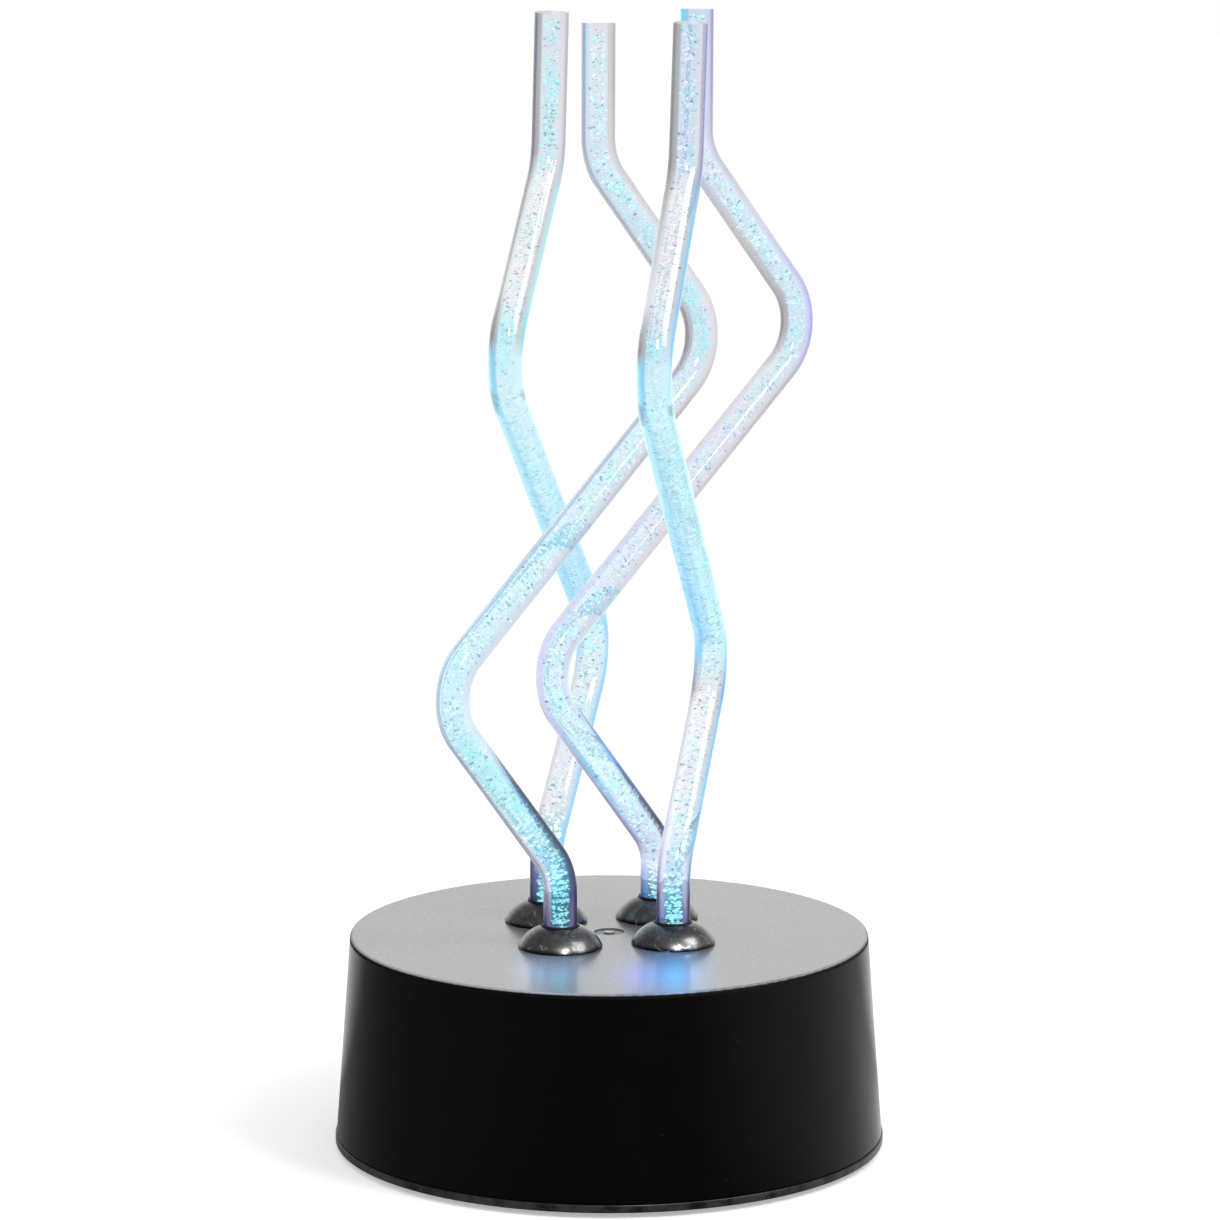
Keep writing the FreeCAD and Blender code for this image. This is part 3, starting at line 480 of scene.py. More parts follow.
@dataclass(frozen=True)
class CellFilm(MouldedPlastic):
    """A battery cell's plain film in two tones, which stops short of its bare metal ends."""

    half: float = 25.0 * MM
    bare: float = 1.2 * MM
    band: float = 0.34
    band_colour: Colour = (0.42, 0.44, 0.45)
    metal: Colour = (0.62, 0.61, 0.58)

    def paint(self, bench: Bench) -> None:
        """Builds the nodes of the material.

        Args:
            bench: the material under work.
        """
        super().paint(bench)
        graph = bench.graph
        _, y, _ = graph.axes(graph.place())
        at_end = graph.value("GREATER_THAN", graph.value("ABSOLUTE", y), self.half - self.bare)
        bench.cover(graph.value("GREATER_THAN", y, self.half * self.band), self.band_colour)
        bench.cover(at_end, self.metal)
        bench.feed(Metallic=at_end)


@dataclass(frozen=True)
class SolderMask(MouldedPlastic):
    """A circuit board's green mask with paler tracks under it."""

    track_colour: Colour = (0.05, 0.27, 0.12)
    track_scale: float = 240.0

    def paint(self, bench: Bench) -> None:
        """Builds the nodes of the material.

        Args:
            bench: the material under work.
        """
        super().paint(bench)
        graph = bench.graph
        cells = graph.node("ShaderNodeTexVoronoi", {"Vector": graph.place(), "Scale": self.track_scale},
                           feature="F1", distance="MANHATTAN")
        bench.cover(graph.span(cells.outputs["Distance"], 0.50, 0.56), self.track_colour)


@dataclass(frozen=True)
class PlatedMetal(Finish):
    """Plated metal with faint wiping marks."""

    colour: Colour
    roughness: float
    marks: float = 0.05
    dimming: float = 0.72

    def paint(self, bench: Bench) -> None:
        """Builds the nodes of the material.

        Args:
            bench: the material under work.
        """
        graph = bench.graph
        smear = graph.noise(graph.place(), 220.0, 4.0, 0.65)
        dimmer = tuple(self.dimming * part for part in self.colour)
        grain = graph.group(bench.effects.grain, Scale=900.0, Depth=0.05)
        bench.feed(Base_Color=graph.blend(smear, self.colour, dimmer), Metallic=1.0, Normal=grain["Normal"],
                   Roughness=graph.span(smear, 0.35, 0.7, self.roughness, self.roughness + self.marks))


@dataclass(frozen=True)
class CollarChrome(Finish):
    """Satin dark chrome: an even grain, faint clouds, fine bright scratches, and a painted contact shadow at
    the drum.
    """

    dark: Colour = (0.065, 0.065, 0.067)
    pale: Colour = (0.125, 0.125, 0.127)
    scratched: Colour = (0.55, 0.55, 0.56)
    shaded: tuple[float, float] = (65.0 * MM, 66.3 * MM)
    coat: float = 0.6
    coat_roughness: float = 0.09

    def paint(self, bench: Bench) -> None:
        """Builds the nodes of the material.

        Args:
            bench: the material under work.
        """
        graph = bench.graph
        place = graph.place()
        grain, cloud = graph.noise(place, 900.0, 4.0, 0.7), graph.noise(place, 210.0, 3.0, 0.6)
        both = graph.plus(graph.times(grain, 0.6), graph.times(cloud, 0.4))
        # painted shadow: the collar darkens to black at its foot, where it meets the drum
        unshaded = graph.span(graph.axes(place)[2], *self.shaded, 0.1, 1.0)
        toned = graph.blend(unshaded, BLACK, graph.blend(graph.span(both, 0.40, 0.60), self.dark, self.pale))
        scratch = graph.node("ShaderNodeTexWave", {
            "Vector": place, "Scale": 70.0, "Distortion": 14.0, "Detail": 3.0, "Detail Scale": 1.4},
            wave_type="BANDS", bands_direction="DIAGONAL").outputs["Fac"]
        lines = graph.times(graph.span(scratch, 0.975, 1.0), graph.span(cloud, 0.52, 0.62))
        rough = graph.span(both, 0.40, 0.60, 0.36, 0.28)
        bench.feed(Base_Color=graph.blend(lines, toned, self.scratched), Metallic=1.0, Roughness=rough,
                   Normal=graph.bump(cloud, 0.2, 0.05 * MM), Coat_Weight=graph.times(unshaded, self.coat),
                   Coat_Roughness=self.coat_roughness)


class Hue(Enum):
    """The colours laid on the rods, as they show on a screen, from 0 to 255: the light in them, and painted
    refraction and reflection at their flanks and rims.
    """

    SNOW = (240, 243, 245)
    FROST = (224, 229, 235)
    MIST = (207, 224, 238)
    ICE = (208, 240, 247)
    AQUA = (184, 234, 242)
    TEAL = (112, 222, 236)
    SKY = (144, 208, 246)
    AZURE = (98, 168, 245)
    HARBOUR = (88, 150, 182)
    LAGOON = (94, 142, 168)
    NAVY = (6, 14, 84)
    DUSK = (84, 92, 142)
    IRIS = (156, 160, 232)
    HEATHER = (146, 144, 192)
    LILAC = (205, 210, 240)
    PEARL = (222, 219, 228)
    SLATE = (166, 168, 188)
    SILVER = (206, 206, 209)
    STEEL = (176, 177, 181)
    SMOKE = (126, 126, 131)

    def light(self) -> Colour:
        """The linear light that shows as this colour."""
        parts = (part / 255 for part in self.value)
        return tuple(part / 12.92 if part <= 0.04045 else ((part + 0.055) / 1.055) ** 2.4 for part in parts)


@dataclass(frozen=True)
class Band:
    """The colours at one place along a rod: its own light, with painted refraction and reflection at the flanks
    and rims.

    The place counts the corners of the bending jig from the rod's foot, so that 2.5 is halfway from its second
    bend to its third. The core is the middle of the bar's width. Each flank is the flat band beside it, and
    each rim is the thin line at the outline. The glow is that of the bubbles.
    """

    place: float
    core: Hue
    left: Hue
    right: Hue
    left_rim: Hue
    right_rim: Hue
    glow: Hue

    def own_light(self) -> float:
        """The share of what shows here that the bar gives off itself.

        It is greatest over the light at the foot and in the third bend.

        Returns:
            The share, from 0 to 1.
        """
        foot_reach, third_bend, bend_reach = 2.0, 3.03, 0.14
        least, more_at_foot, more_in_bend = 0.28, 0.24, 0.40
        at_foot = max(0.0, 1.0 - self.place / foot_reach)
        in_bend = max(0.0, 1.0 - abs(self.place - third_bend) / bend_reach)
        return least + more_at_foot * at_foot + more_in_bend * in_bend

    def bubble_light(self) -> Colour:
        """The light of a bubble that shows as the glow through the bar, and stays between dim and glaring."""
        own, dim, glaring = self.own_light(), 0.01, 4.5
        parts = zip(self.glow.light(), self.core.light())
        return tuple(min(glaring, max(dim, (glow / core - own) / (1.0 - own))) for glow, core in parts)


@dataclass(frozen=True)
class RodFinish(Finish):
    """A finish that carries the light of one rod, from its foot to its tip.

    The mesh stores where a point is along the bar, and the places are shares of that length.
    """

    bands: tuple[Band, ...]
    places: tuple[float, ...]

    def run(self, graph: Graph, reading: Callable[[Band], Colour]) -> Socket:
        """Lays along the bar what the reading takes from each band."""
        return graph.ramp(graph.attribute("along"), list(zip(self.places, map(reading, self.bands))))


@dataclass(frozen=True)
class Acrylic(RodFinish):
    """Clear acrylic bar, tinted by the light that runs up inside it, with painted refraction and reflection at
    its flanks and rims.
    """

    flank: tuple[float, float] = (0.44, 0.62)
    rim: tuple[float, float] = (0.24, 0.64)
    led_glow: Colour = (0.35, 0.75, 1.0)
    led_reach: float = 0.035
    ior: float = 1.49

    def layer(self, graph: Graph, part: str) -> Socket:
        """One of the bands' layers along the bar."""
        return self.run(graph, lambda band: getattr(band, part).light())

    def paint(self, bench: Bench) -> None:
        """Builds the nodes of the material.

        The mesh stores where a point is across the bar, as seen from the front. The tint lies on the way in,
        squared because the shader passes its root, and the way out is clear. The light below the foot shows in
        the end of the bar to whatever is led down it.

        Args:
            bench: the material under work.
        """
        graph = bench.graph
        across = graph.attribute("across")
        to_right = graph.span(across, -0.10, 0.10)
        flanks = graph.blend(to_right, self.layer(graph, "left"), self.layer(graph, "right"))
        rims = graph.blend(to_right, self.layer(graph, "left_rim"), self.layer(graph, "right_rim"))
        facing = graph.node("ShaderNodeLayerWeight", {"Blend": 0.5}).outputs["Facing"]
        beside = graph.span(graph.value("ABSOLUTE", across), *self.flank)
        core = graph.blend(1.0, self.layer(graph, "core"), graph.group(bench.effects.tint)["Tint"], "MULTIPLY")
        # painted refraction and reflection: the flank and rim colours shade the bar's sides and outline as seen
        # from the front; the core carries the rod's own light
        shown = graph.blend(graph.span(facing, *self.rim), graph.blend(beside, core, flanks), rims)
        own = self.run(graph, lambda band: (band.own_light(),) * 3)
        way_out = graph.node("ShaderNodeNewGeometry").outputs["Backfacing"]
        passed = graph.blend(1.0, shown, graph.blend(1.0, WHITE, own, "SUBTRACT"), "MULTIPLY")
        tint = graph.blend(way_out, graph.blend(1.0, passed, passed, "MULTIPLY"), WHITE)
        end = graph.ramp(graph.attribute("along"), [(0.0, self.led_glow), (self.led_reach, BLACK)])
        light = graph.blend(way_out, graph.blend(1.0, shown, own, "MULTIPLY"), end)
        wiped = graph.span(graph.noise(graph.place(), 90.0, 3.0), 0.4, 0.75, 0.004, 0.03)
        bench.feed(Base_Color=tint, Transmission_Weight=1.0, IOR=self.ior, Roughness=wiped,
                   Emission_Color=light, Emission_Strength=1.0)


@dataclass(frozen=True)
class Bubbles(RodFinish):
    """Trapped air: pale, bright and dark bubbles that carry the light of the rod.

    The mesh stores a tone for each bubble, and the shades turn it into what the bubble does to the light.
    """

    own_colour: Colour = (0.05, 0.05, 0.05)
    roughness: float = 0.3
    shades: tuple[tuple[float, Colour], ...] = (
        (0.0, (0.08, 0.18, 0.22)), (0.05, (0.20, 0.34, 0.38)), (0.12, (0.56, 0.64, 0.68)),
        (0.24, (0.80, 0.86, 0.90)), (0.45, (1.04, 0.94, 1.0)), (0.65, (0.90, 1.02, 1.02)),
        (0.82, (1.4, 1.25, 1.2)))

    def paint(self, bench: Bench) -> None:
        """Builds the nodes of the material.

        Args:
            bench: the material under work.
        """
        graph = bench.graph
        shade = graph.ramp(graph.attribute("tone"), list(self.shades))
        shaded = graph.blend(1.0, shade, graph.group(bench.effects.tint)["Tint"], "MULTIPLY")
        glow = graph.blend(1.0, self.run(graph, Band.bubble_light), shaded, "MULTIPLY")
        bench.feed(Base_Color=self.own_colour, Roughness=self.roughness,
                   Emission_Color=glow, Emission_Strength=1.0)


def dress(node: str, material: bpy.types.Material) -> None:
    """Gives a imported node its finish.

    Args:
        node: the node's name.
        material: the material for its whole surface.
    """
    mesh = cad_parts[node].data
    mesh.materials.clear()
    mesh.materials.append(material)
    LOG.info("%s is dressed in %s", node, material.name)


# ---- rods ----


@dataclass(frozen=True)
class Corner:
    """One turn of the bending jig: its rise above the drum's top and its place along and across the jig."""

    rise: float
    along: float
    across: float = 0.0


@dataclass(frozen=True)
class Jig:
    """The jig that bends every rod alike, and the square of sockets that the rods stand in."""

    ring_radius: float = 23.9 * MM
    ring_angle: float = 52.8
    top_face: float = 64.6 * MM
    bar_radius: float = 5.0 * MM
    bend_radius: float = 18.0 * MM
    corners: tuple[Corner, ...] = (
        Corner(-12.0 * MM, 0.0), Corner(22.9 * MM, 0.0), Corner(79.6 * MM, 44.2 * MM),
        Corner(175.4 * MM, -67.0 * MM, -12.5 * MM), Corner(230.9 * MM, -20.2 * MM, -9.2 * MM),
        Corner(274.6 * MM, -21.7 * MM, -11.1 * MM))

    def path(self, corner: int, turn: float, trim: float) -> list[Vector]:
        """The corners that one rod's centre line is bent round.

        Args:
            corner: which corner of the socket square it stands in.
            turn: how far it is turned about its foot, in degrees.
            trim: how much is cut off its tip.

        Returns:
            The corners, from foot to tip.
        """
        angle = math.radians(self.ring_angle + 90 * corner)
        foot = Vector((self.ring_radius * math.cos(angle), self.ring_radius * math.sin(angle), self.top_face))
        spin = Matrix.Rotation(math.radians(turn), 3, "Z")
        points = [foot + spin @ Vector((bend.along, bend.across, bend.rise)) for bend in self.corners]
        points[-1] -= (points[-1] - points[-2]).normalized() * trim
        return points

    def share(self, place: float) -> float:
        """Turns a place counted in corners into a share of the bar's length from its foot.

        Args:
            place: the place, such as 2.5 for halfway from the second bend to the third.

        Returns:
            The share, from 0 to 1.
        """
        spots = [Vector((bend.along, bend.across, bend.rise)) for bend in self.corners]
        runs = [(after - before).length for before, after in zip(spots, spots[1:])]
        whole = min(int(place), len(runs) - 1)
        return (sum(runs[:whole]) + (place - whole) * runs[whole]) / sum(runs)


class GrowthGraph(Graph):
    """Short calls for a geometry tree that grows on a path and ends in a finish."""

    def __init__(self, name: str, rows: dict[str, object]) -> None:
        """Starts a tree.

        Args:
            name: the tree's name.
            rows: its inputs besides the path and the finish, with their defaults: whole numbers for counts.
        """
        super().__init__(bpy.data.node_groups.new(name, "GeometryNodeTree"))
        sockets = self.tree.interface
        sockets.new_socket("Geometry", in_out="OUTPUT", socket_type="NodeSocketGeometry")
        sockets.new_socket("Path", in_out="INPUT", socket_type="NodeSocketGeometry")
        sockets.new_socket("Finish", in_out="INPUT", socket_type="NodeSocketMaterial")
        for label, default in rows.items():
            kind = "NodeSocketInt" if isinstance(default, int) else "NodeSocketFloat"
            sockets.new_socket(label, in_out="INPUT", socket_type=kind).default_value = default
        self.given = self.node("NodeGroupInput").outputs

    def position(self) -> Socket:
        """Where each point is."""
        return self.out("GeometryNodeInputPosition")

    def scaled(self, arrow: Socket, length: Socket) -> Socket:
        """Scales an arrow by a number."""
        return self.out("ShaderNodeVectorMath", {"Vector": arrow, "Scale": length}, operation="SCALE")

    def store(self, shape: Socket, name: str, kind: str, source: Socket) -> Socket:
        """Stores a value of a kind under a name on each point of a shape."""
        return self.out("GeometryNodeStoreNamedAttribute", {"Geometry": shape, "Name": name, "Value": source},
                        data_type=kind, domain="POINT")

    def stored(self, name: str) -> Socket:
        """Reads back a stored direction or place by its name."""
        return self.out("GeometryNodeInputNamedAttribute", {"Name": name}, data_type="FLOAT_VECTOR")

    def chance(self, shift: int, low: float = 0.0, high: float = 1.0) -> Socket:
        """A random number for each point. The shift says which of the point's numbers it is."""
        seed = self.plus(self.given["Seed"], float(shift))
        return self.out("FunctionNodeRandomValue", {"Min": low, "Max": high, "Seed": seed}, data_type="FLOAT")

    def finish(self, shape: Socket) -> bpy.types.NodeTree:
        """Ends the tree: instances made real, smooth faces and the finish.

        Args:
            shape: the geometry so far.

        Returns:
            The tree.
        """
        real = self.out("GeometryNodeRealizeInstances", {"Geometry": shape})
        smooth = self.out("GeometryNodeSetShadeSmooth", {"Geometry": real})
        painted = self.out("GeometryNodeSetMaterial", {"Geometry": smooth, "Material": self.given["Finish"]})
        self.node("NodeGroupOutput", {"Geometry": painted})
        return self.tree


@dataclass
class RodTree:
    """Geometry Nodes that bend a bar along a path, and fill its core with bubbles.

    The front is the way that the bar's left and right are told from. The core is narrow at the foot, where the
    bubbles are larger and lie in rows. Both fade out on the way up.
    """

    jig: Jig
    ring_segments: int = 48
    bend_segments: int = 18
    front: tuple[float, float, float] = (0.0, -0.974, 0.225)
    count: int = 7500
    run: tuple[float, float] = (0.03, 0.995)
    foot_core_radius: float = 1.05 * MM
    widening: float = 10.0 * MM
    core_radius: float = 2.7 * MM
    tip_core_radius: float = 1.7 * MM
    crowding: float = 0.55
    rows: float = 175.0
    row_pull: float = 0.65
    row_fade: float = 1.8
    smallest: float = 0.10 * MM
    largest: float = 0.47 * MM
    swelling: float = 0.6
    clump_scale: float = 190.0
    thinnest: float = 0.6

    def centre_line(self, graph: GrowthGraph) -> Socket:
        """The path with its corners bent to arcs."""
        line = graph.out("GeometryNodeMeshToCurve", {"Mesh": graph.given["Path"]})
        return graph.out("GeometryNodeFilletCurve", {
            "Curve": line, "Radius": graph.given["Bend Radius"], "Count": self.bend_segments}, mode="POLY")

    def sideways(self, graph: GrowthGraph, tangent: Socket) -> Socket:
        """The bar's own right, as seen from the front."""
        return graph.vector("NORMALIZE", graph.vector("CROSS_PRODUCT", tangent, self.front))

    def bar(self) -> bpy.types.NodeTree:
        """The tree of the bar itself.

        Returns:
            The tree.
        """
        graph = GrowthGraph("bent bar", {
            "Bar Radius": self.jig.bar_radius, "Bend Radius": self.jig.bend_radius})
        ring = graph.out("GeometryNodeCurvePrimitiveCircle", {
            "Resolution": self.ring_segments, "Radius": graph.given["Bar Radius"]})
        line = graph.store(self.centre_line(graph), "along", "FLOAT", graph.out("GeometryNodeSplineParameter"))
        line = graph.store(line, "middle", "FLOAT_VECTOR", graph.position())
        right = self.sideways(graph, graph.out("GeometryNodeInputTangent"))
        line = graph.store(line, "sideways", "FLOAT_VECTOR", right)
        skin = graph.out("GeometryNodeCurveToMesh", {"Curve": line, "Profile Curve": ring, "Fill Caps": True})
        away = graph.vector("NORMALIZE", graph.vector("SUBTRACT", graph.position(), graph.stored("middle")))
        across = graph.vector("DOT_PRODUCT", away, graph.stored("sideways"))
        shape = graph.store(skin, "across", "FLOAT", across)
        for name in ("middle", "sideways"):
            shape = graph.out("GeometryNodeRemoveAttribute", {"Geometry": shape, "Name": name})
        return graph.finish(shape)

    def bubbles(self) -> bpy.types.NodeTree:
        """The tree of the bubbles in a bar's core.

        Returns:
            The tree.
        """
        graph = GrowthGraph("bubble core", {
            "Bend Radius": self.jig.bend_radius, "Foot Core Radius": self.foot_core_radius,
            "Widening": self.widening, "Core Radius": self.core_radius,
            "Tip Core Radius": self.tip_core_radius, "Rows": self.rows, "Row Pull": self.row_pull,
            "Count": self.count, "Smallest": self.smallest, "Largest": self.largest,
            "Clump Scale": self.clump_scale, "Thinnest": self.thinnest, "Seed": 1})
        given, value, times, plus, less = graph.given, graph.value, graph.times, graph.plus, graph.less
        drawn = graph.chance(1, *self.run)
        row = value("DIVIDE", value("ROUND", times(drawn, given["Rows"])), given["Rows"])
        fading = value("SUBTRACT", 1.0, times(drawn, self.row_fade), clamp=True)
        pulled = times(graph.chance(6), times(fading, given["Row Pull"]))
        place = plus(drawn, times(less(row, drawn), pulled))
        thinned = times(place, less(given["Core Radius"], given["Tip Core Radius"]))
        widened = plus(given["Foot Core Radius"], times(place, given["Widening"]))
        core = value("MINIMUM", widened, less(given["Core Radius"], thinned))
        reach = times(core, value("POWER", graph.chance(2), self.crowding))
        angle = graph.chance(3, 0.0, 2 * math.pi)
        sample = graph.node("GeometryNodeSampleCurve", {
            "Curves": self.centre_line(graph), "Factor": place}, mode="FACTOR").outputs
        side = self.sideways(graph, sample["Tangent"])
        other = graph.vector("CROSS_PRODUCT", sample["Tangent"], side)
        shift = graph.vector("ADD", graph.scaled(side, times(reach, value("COSINE", angle))),
                             graph.scaled(other, times(reach, value("SINE", angle))))
        cloud = graph.out("GeometryNodePoints", {
            "Count": given["Count"], "Position": graph.vector("ADD", sample["Position"], shift)})
        cloud = graph.store(cloud, "tone", "FLOAT", graph.chance(4))
        cloud = graph.store(cloud, "along", "FLOAT", place)
        pick = value("POWER", graph.chance(5), 2.0)
        size = plus(given["Smallest"], times(less(given["Largest"], given["Smallest"]), pick))
        swollen = plus(1.0, times(value("POWER", fading, 4.0), self.swelling))
        full = graph.span(graph.noise(graph.position(), given["Clump Scale"]), 0.40, 0.56, given["Thinnest"])
        ball = graph.out("GeometryNodeMeshIcoSphere", {"Radius": 1.0, "Subdivisions": 1})
        return graph.finish(graph.out("GeometryNodeInstanceOnPoints", {
            "Points": cloud, "Instance": ball, "Scale": times(times(size, swollen), full)}))


def grow(name: str, path: list[Vector], tree: bpy.types.NodeTree,
         settings: dict[str, object]) -> bpy.types.Object:
    """Runs a geometry tree on a path and keeps the plain mesh that it makes.

    Args:
        name: the new piece's name.
        path: the corners of the path.
        tree: the geometry tree.
        settings: its inputs by name.

    Returns:
        The piece, with no modifier left on it.
    """
    line = bpy.data.meshes.new(name + "_path")
    line.from_pydata(path, [(number, number + 1) for number in range(len(path) - 1)], [])
    piece = bpy.data.objects.new(name, line)
    bpy.context.scene.collection.objects.link(piece)
    grower = piece.modifiers.new("grow", "NODES")
    grower.node_group = tree
    for socket in tree.interface.items_tree:
        if socket.in_out == "INPUT" and socket.name in settings:
            grower[socket.identifier] = settings[socket.name]
    bpy.context.view_layer.update()
    grown = bpy.data.meshes.new_from_object(piece.evaluated_get(bpy.context.evaluated_depsgraph_get()))
    piece.modifiers.remove(grower)
    piece.data = grown
    grown.name = name
    bpy.data.meshes.remove(line)
    return piece


@dataclass(frozen=True)
class Rod:
    """One rod: its socket, its turn on the jig, and the light in it from foot to tip."""

    name: str
    corner: int
    turn: float
    trim: float
    bands: tuple[Band, ...]


FRONT_LEFT = (
    Band(0.60, Hue.LAGOON, Hue.HEATHER, Hue.HEATHER, Hue.NAVY, Hue.NAVY, Hue.AQUA),
    Band(0.88, Hue.HARBOUR, Hue.LILAC, Hue.DUSK, Hue.SLATE, Hue.NAVY, Hue.AQUA),
    Band(1.10, Hue.SKY, Hue.MIST, Hue.HARBOUR, Hue.STEEL, Hue.NAVY, Hue.AQUA),
    Band(1.48, Hue.AQUA, Hue.ICE, Hue.SKY, Hue.STEEL, Hue.NAVY, Hue.AQUA),
    Band(1.75, Hue.AQUA, Hue.ICE, Hue.ICE, Hue.SLATE, Hue.MIST, Hue.AQUA),
    Band(2.10, Hue.ICE, Hue.ICE, Hue.MIST, Hue.MIST, Hue.MIST, Hue.ICE),
    Band(2.85, Hue.FROST, Hue.MIST, Hue.PEARL, Hue.SILVER, Hue.STEEL, Hue.ICE),
    Band(3.00, Hue.FROST, Hue.STEEL, Hue.PEARL, Hue.SMOKE, Hue.SILVER, Hue.AQUA),
    Band(3.50, Hue.MIST, Hue.MIST, Hue.PEARL, Hue.STEEL, Hue.SILVER, Hue.AQUA),
    Band(4.60, Hue.FROST, Hue.MIST, Hue.SILVER, Hue.STEEL, Hue.STEEL, Hue.ICE))
BACK_LEFT = (
    Band(0.60, Hue.LAGOON, Hue.DUSK, Hue.HEATHER, Hue.NAVY, Hue.DUSK, Hue.AQUA),
    Band(0.95, Hue.HARBOUR, Hue.HEATHER, Hue.SKY, Hue.DUSK, Hue.SKY, Hue.AQUA),
    Band(1.20, Hue.FROST, Hue.FROST, Hue.MIST, Hue.SILVER, Hue.SKY, Hue.FROST),
    Band(1.80, Hue.FROST, Hue.FROST, Hue.MIST, Hue.SILVER, Hue.SKY, Hue.ICE),
    Band(2.08, Hue.ICE, Hue.SKY, Hue.ICE, Hue.SKY, Hue.SKY, Hue.ICE),
    Band(3.03, Hue.ICE, Hue.SKY, Hue.ICE, Hue.AQUA, Hue.ICE, Hue.ICE),
    Band(3.10, Hue.ICE, Hue.STEEL, Hue.SILVER, Hue.SMOKE, Hue.TEAL, Hue.AQUA),
    Band(3.30, Hue.SNOW, Hue.SNOW, Hue.SILVER, Hue.SILVER, Hue.AQUA, Hue.FROST),
    Band(3.82, Hue.SNOW, Hue.SNOW, Hue.SILVER, Hue.STEEL, Hue.AQUA, Hue.FROST),
    Band(4.02, Hue.FROST, Hue.STEEL, Hue.PEARL, Hue.SMOKE, Hue.STEEL, Hue.AQUA))
BACK_RIGHT = (
    Band(0.60, Hue.LAGOON, Hue.AZURE, Hue.IRIS, Hue.DUSK, Hue.DUSK, Hue.AQUA),
    Band(0.92, Hue.LILAC, Hue.LILAC, Hue.LILAC, Hue.LILAC, Hue.IRIS, Hue.MIST),
    Band(1.12, Hue.LILAC, Hue.LILAC, Hue.SLATE, Hue.HEATHER, Hue.NAVY, Hue.ICE),
    Band(1.55, Hue.ICE, Hue.SKY, Hue.ICE, Hue.SLATE, Hue.AZURE, Hue.ICE),
    Band(1.90, Hue.ICE, Hue.LILAC, Hue.LILAC, Hue.LILAC, Hue.ICE, Hue.ICE),
    Band(2.40, Hue.FROST, Hue.LILAC, Hue.PEARL, Hue.SILVER, Hue.SILVER, Hue.MIST),
    Band(2.85, Hue.FROST, Hue.PEARL, Hue.PEARL, Hue.SILVER, Hue.STEEL, Hue.MIST),
    Band(3.00, Hue.MIST, Hue.STEEL, Hue.LILAC, Hue.SMOKE, Hue.IRIS, Hue.ICE),
    Band(3.60, Hue.MIST, Hue.SILVER, Hue.LILAC, Hue.STEEL, Hue.SILVER, Hue.ICE),
    Band(4.10, Hue.FROST, Hue.LILAC, Hue.LILAC, Hue.STEEL, Hue.STEEL, Hue.MIST),
    Band(4.45, Hue.MIST, Hue.SKY, Hue.LILAC, Hue.TEAL, Hue.HEATHER, Hue.ICE))
FRONT_RIGHT = (
    Band(0.60, Hue.LAGOON, Hue.IRIS, Hue.IRIS, Hue.NAVY, Hue.NAVY, Hue.AQUA),
    Band(0.88, Hue.SKY, Hue.LILAC, Hue.LILAC, Hue.DUSK, Hue.DUSK, Hue.AQUA),
    Band(1.12, Hue.FROST, Hue.SNOW, Hue.MIST, Hue.LILAC, Hue.SKY, Hue.ICE),
    Band(1.78, Hue.SNOW, Hue.SNOW, Hue.SILVER, Hue.SILVER, Hue.SKY, Hue.FROST),
    Band(1.88, Hue.FROST, Hue.SILVER, Hue.SILVER, Hue.SMOKE, Hue.AZURE, Hue.FROST),
    Band(2.05, Hue.ICE, Hue.SKY, Hue.ICE, Hue.SKY, Hue.AQUA, Hue.ICE),
    Band(3.04, Hue.ICE, Hue.SKY, Hue.ICE, Hue.AQUA, Hue.AQUA, Hue.ICE),
    Band(3.11, Hue.MIST, Hue.STEEL, Hue.MIST, Hue.SMOKE, Hue.SKY, Hue.AQUA),
    Band(3.30, Hue.SNOW, Hue.FROST, Hue.SILVER, Hue.FROST, Hue.SKY, Hue.FROST),
    Band(3.82, Hue.SNOW, Hue.FROST, Hue.SILVER, Hue.STEEL, Hue.SKY, Hue.FROST),
    Band(4.00, Hue.MIST, Hue.STEEL, Hue.PEARL, Hue.SMOKE, Hue.HEATHER, Hue.MIST))

RODS = (
    Rod("front_left", 2, 215.1, 3.7 * MM, FRONT_LEFT),
    Rod("back_left", 1, 68.8, 0.0, BACK_LEFT),
    Rod("back_right", 0, 213.9, 1.5 * MM, BACK_RIGHT),
    Rod("front_right", 3, 72.7, 1.5 * MM, FRONT_RIGHT))


@dataclass
class RodSet:
    """The four bent rods and the bubbles in them."""

    effects: Effects
    jig: Jig = field(default_factory=Jig)
    first_seed: int = 11
    sharp_angle: float = 40.0

    def build(self) -> None:
        """Makes every rod and its bubbles and puts them on the lamp."""
        maker = RodTree(self.jig)
        bar_tree, bubble_tree = maker.bar(), maker.bubbles()
        for number, rod in enumerate(RODS):
            path = self.jig.path(rod.corner, rod.turn, rod.trim)
            places = tuple(self.jig.share(band.place) for band in rod.bands)
            clear = Acrylic(f"acrylic_{rod.name}", rod.bands, places).build(self.effects)
            lit = Bubbles(f"bubbles_{rod.name}", rod.bands, places).build(self.effects)
            bar = grow(f"bar_{rod.name}", path, bar_tree, {"Finish": clear})
            bar.data.set_sharp_from_angle(angle=math.radians(self.sharp_angle))
            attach(bar, Body.ROOT.value)
            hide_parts(f"rod_{rod.name}")
            core = grow(f"bubbles_{rod.name}", path, bubble_tree, {
                "Seed": self.first_seed + number, "Finish": lit})
            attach(core, Body.ROOT.value)
            LOG.info("rod %s: %d faces, %d bubble faces", rod.name, len(bar.data.polygons),
                     len(core.data.polygons))


# ---- drum and fittings ----


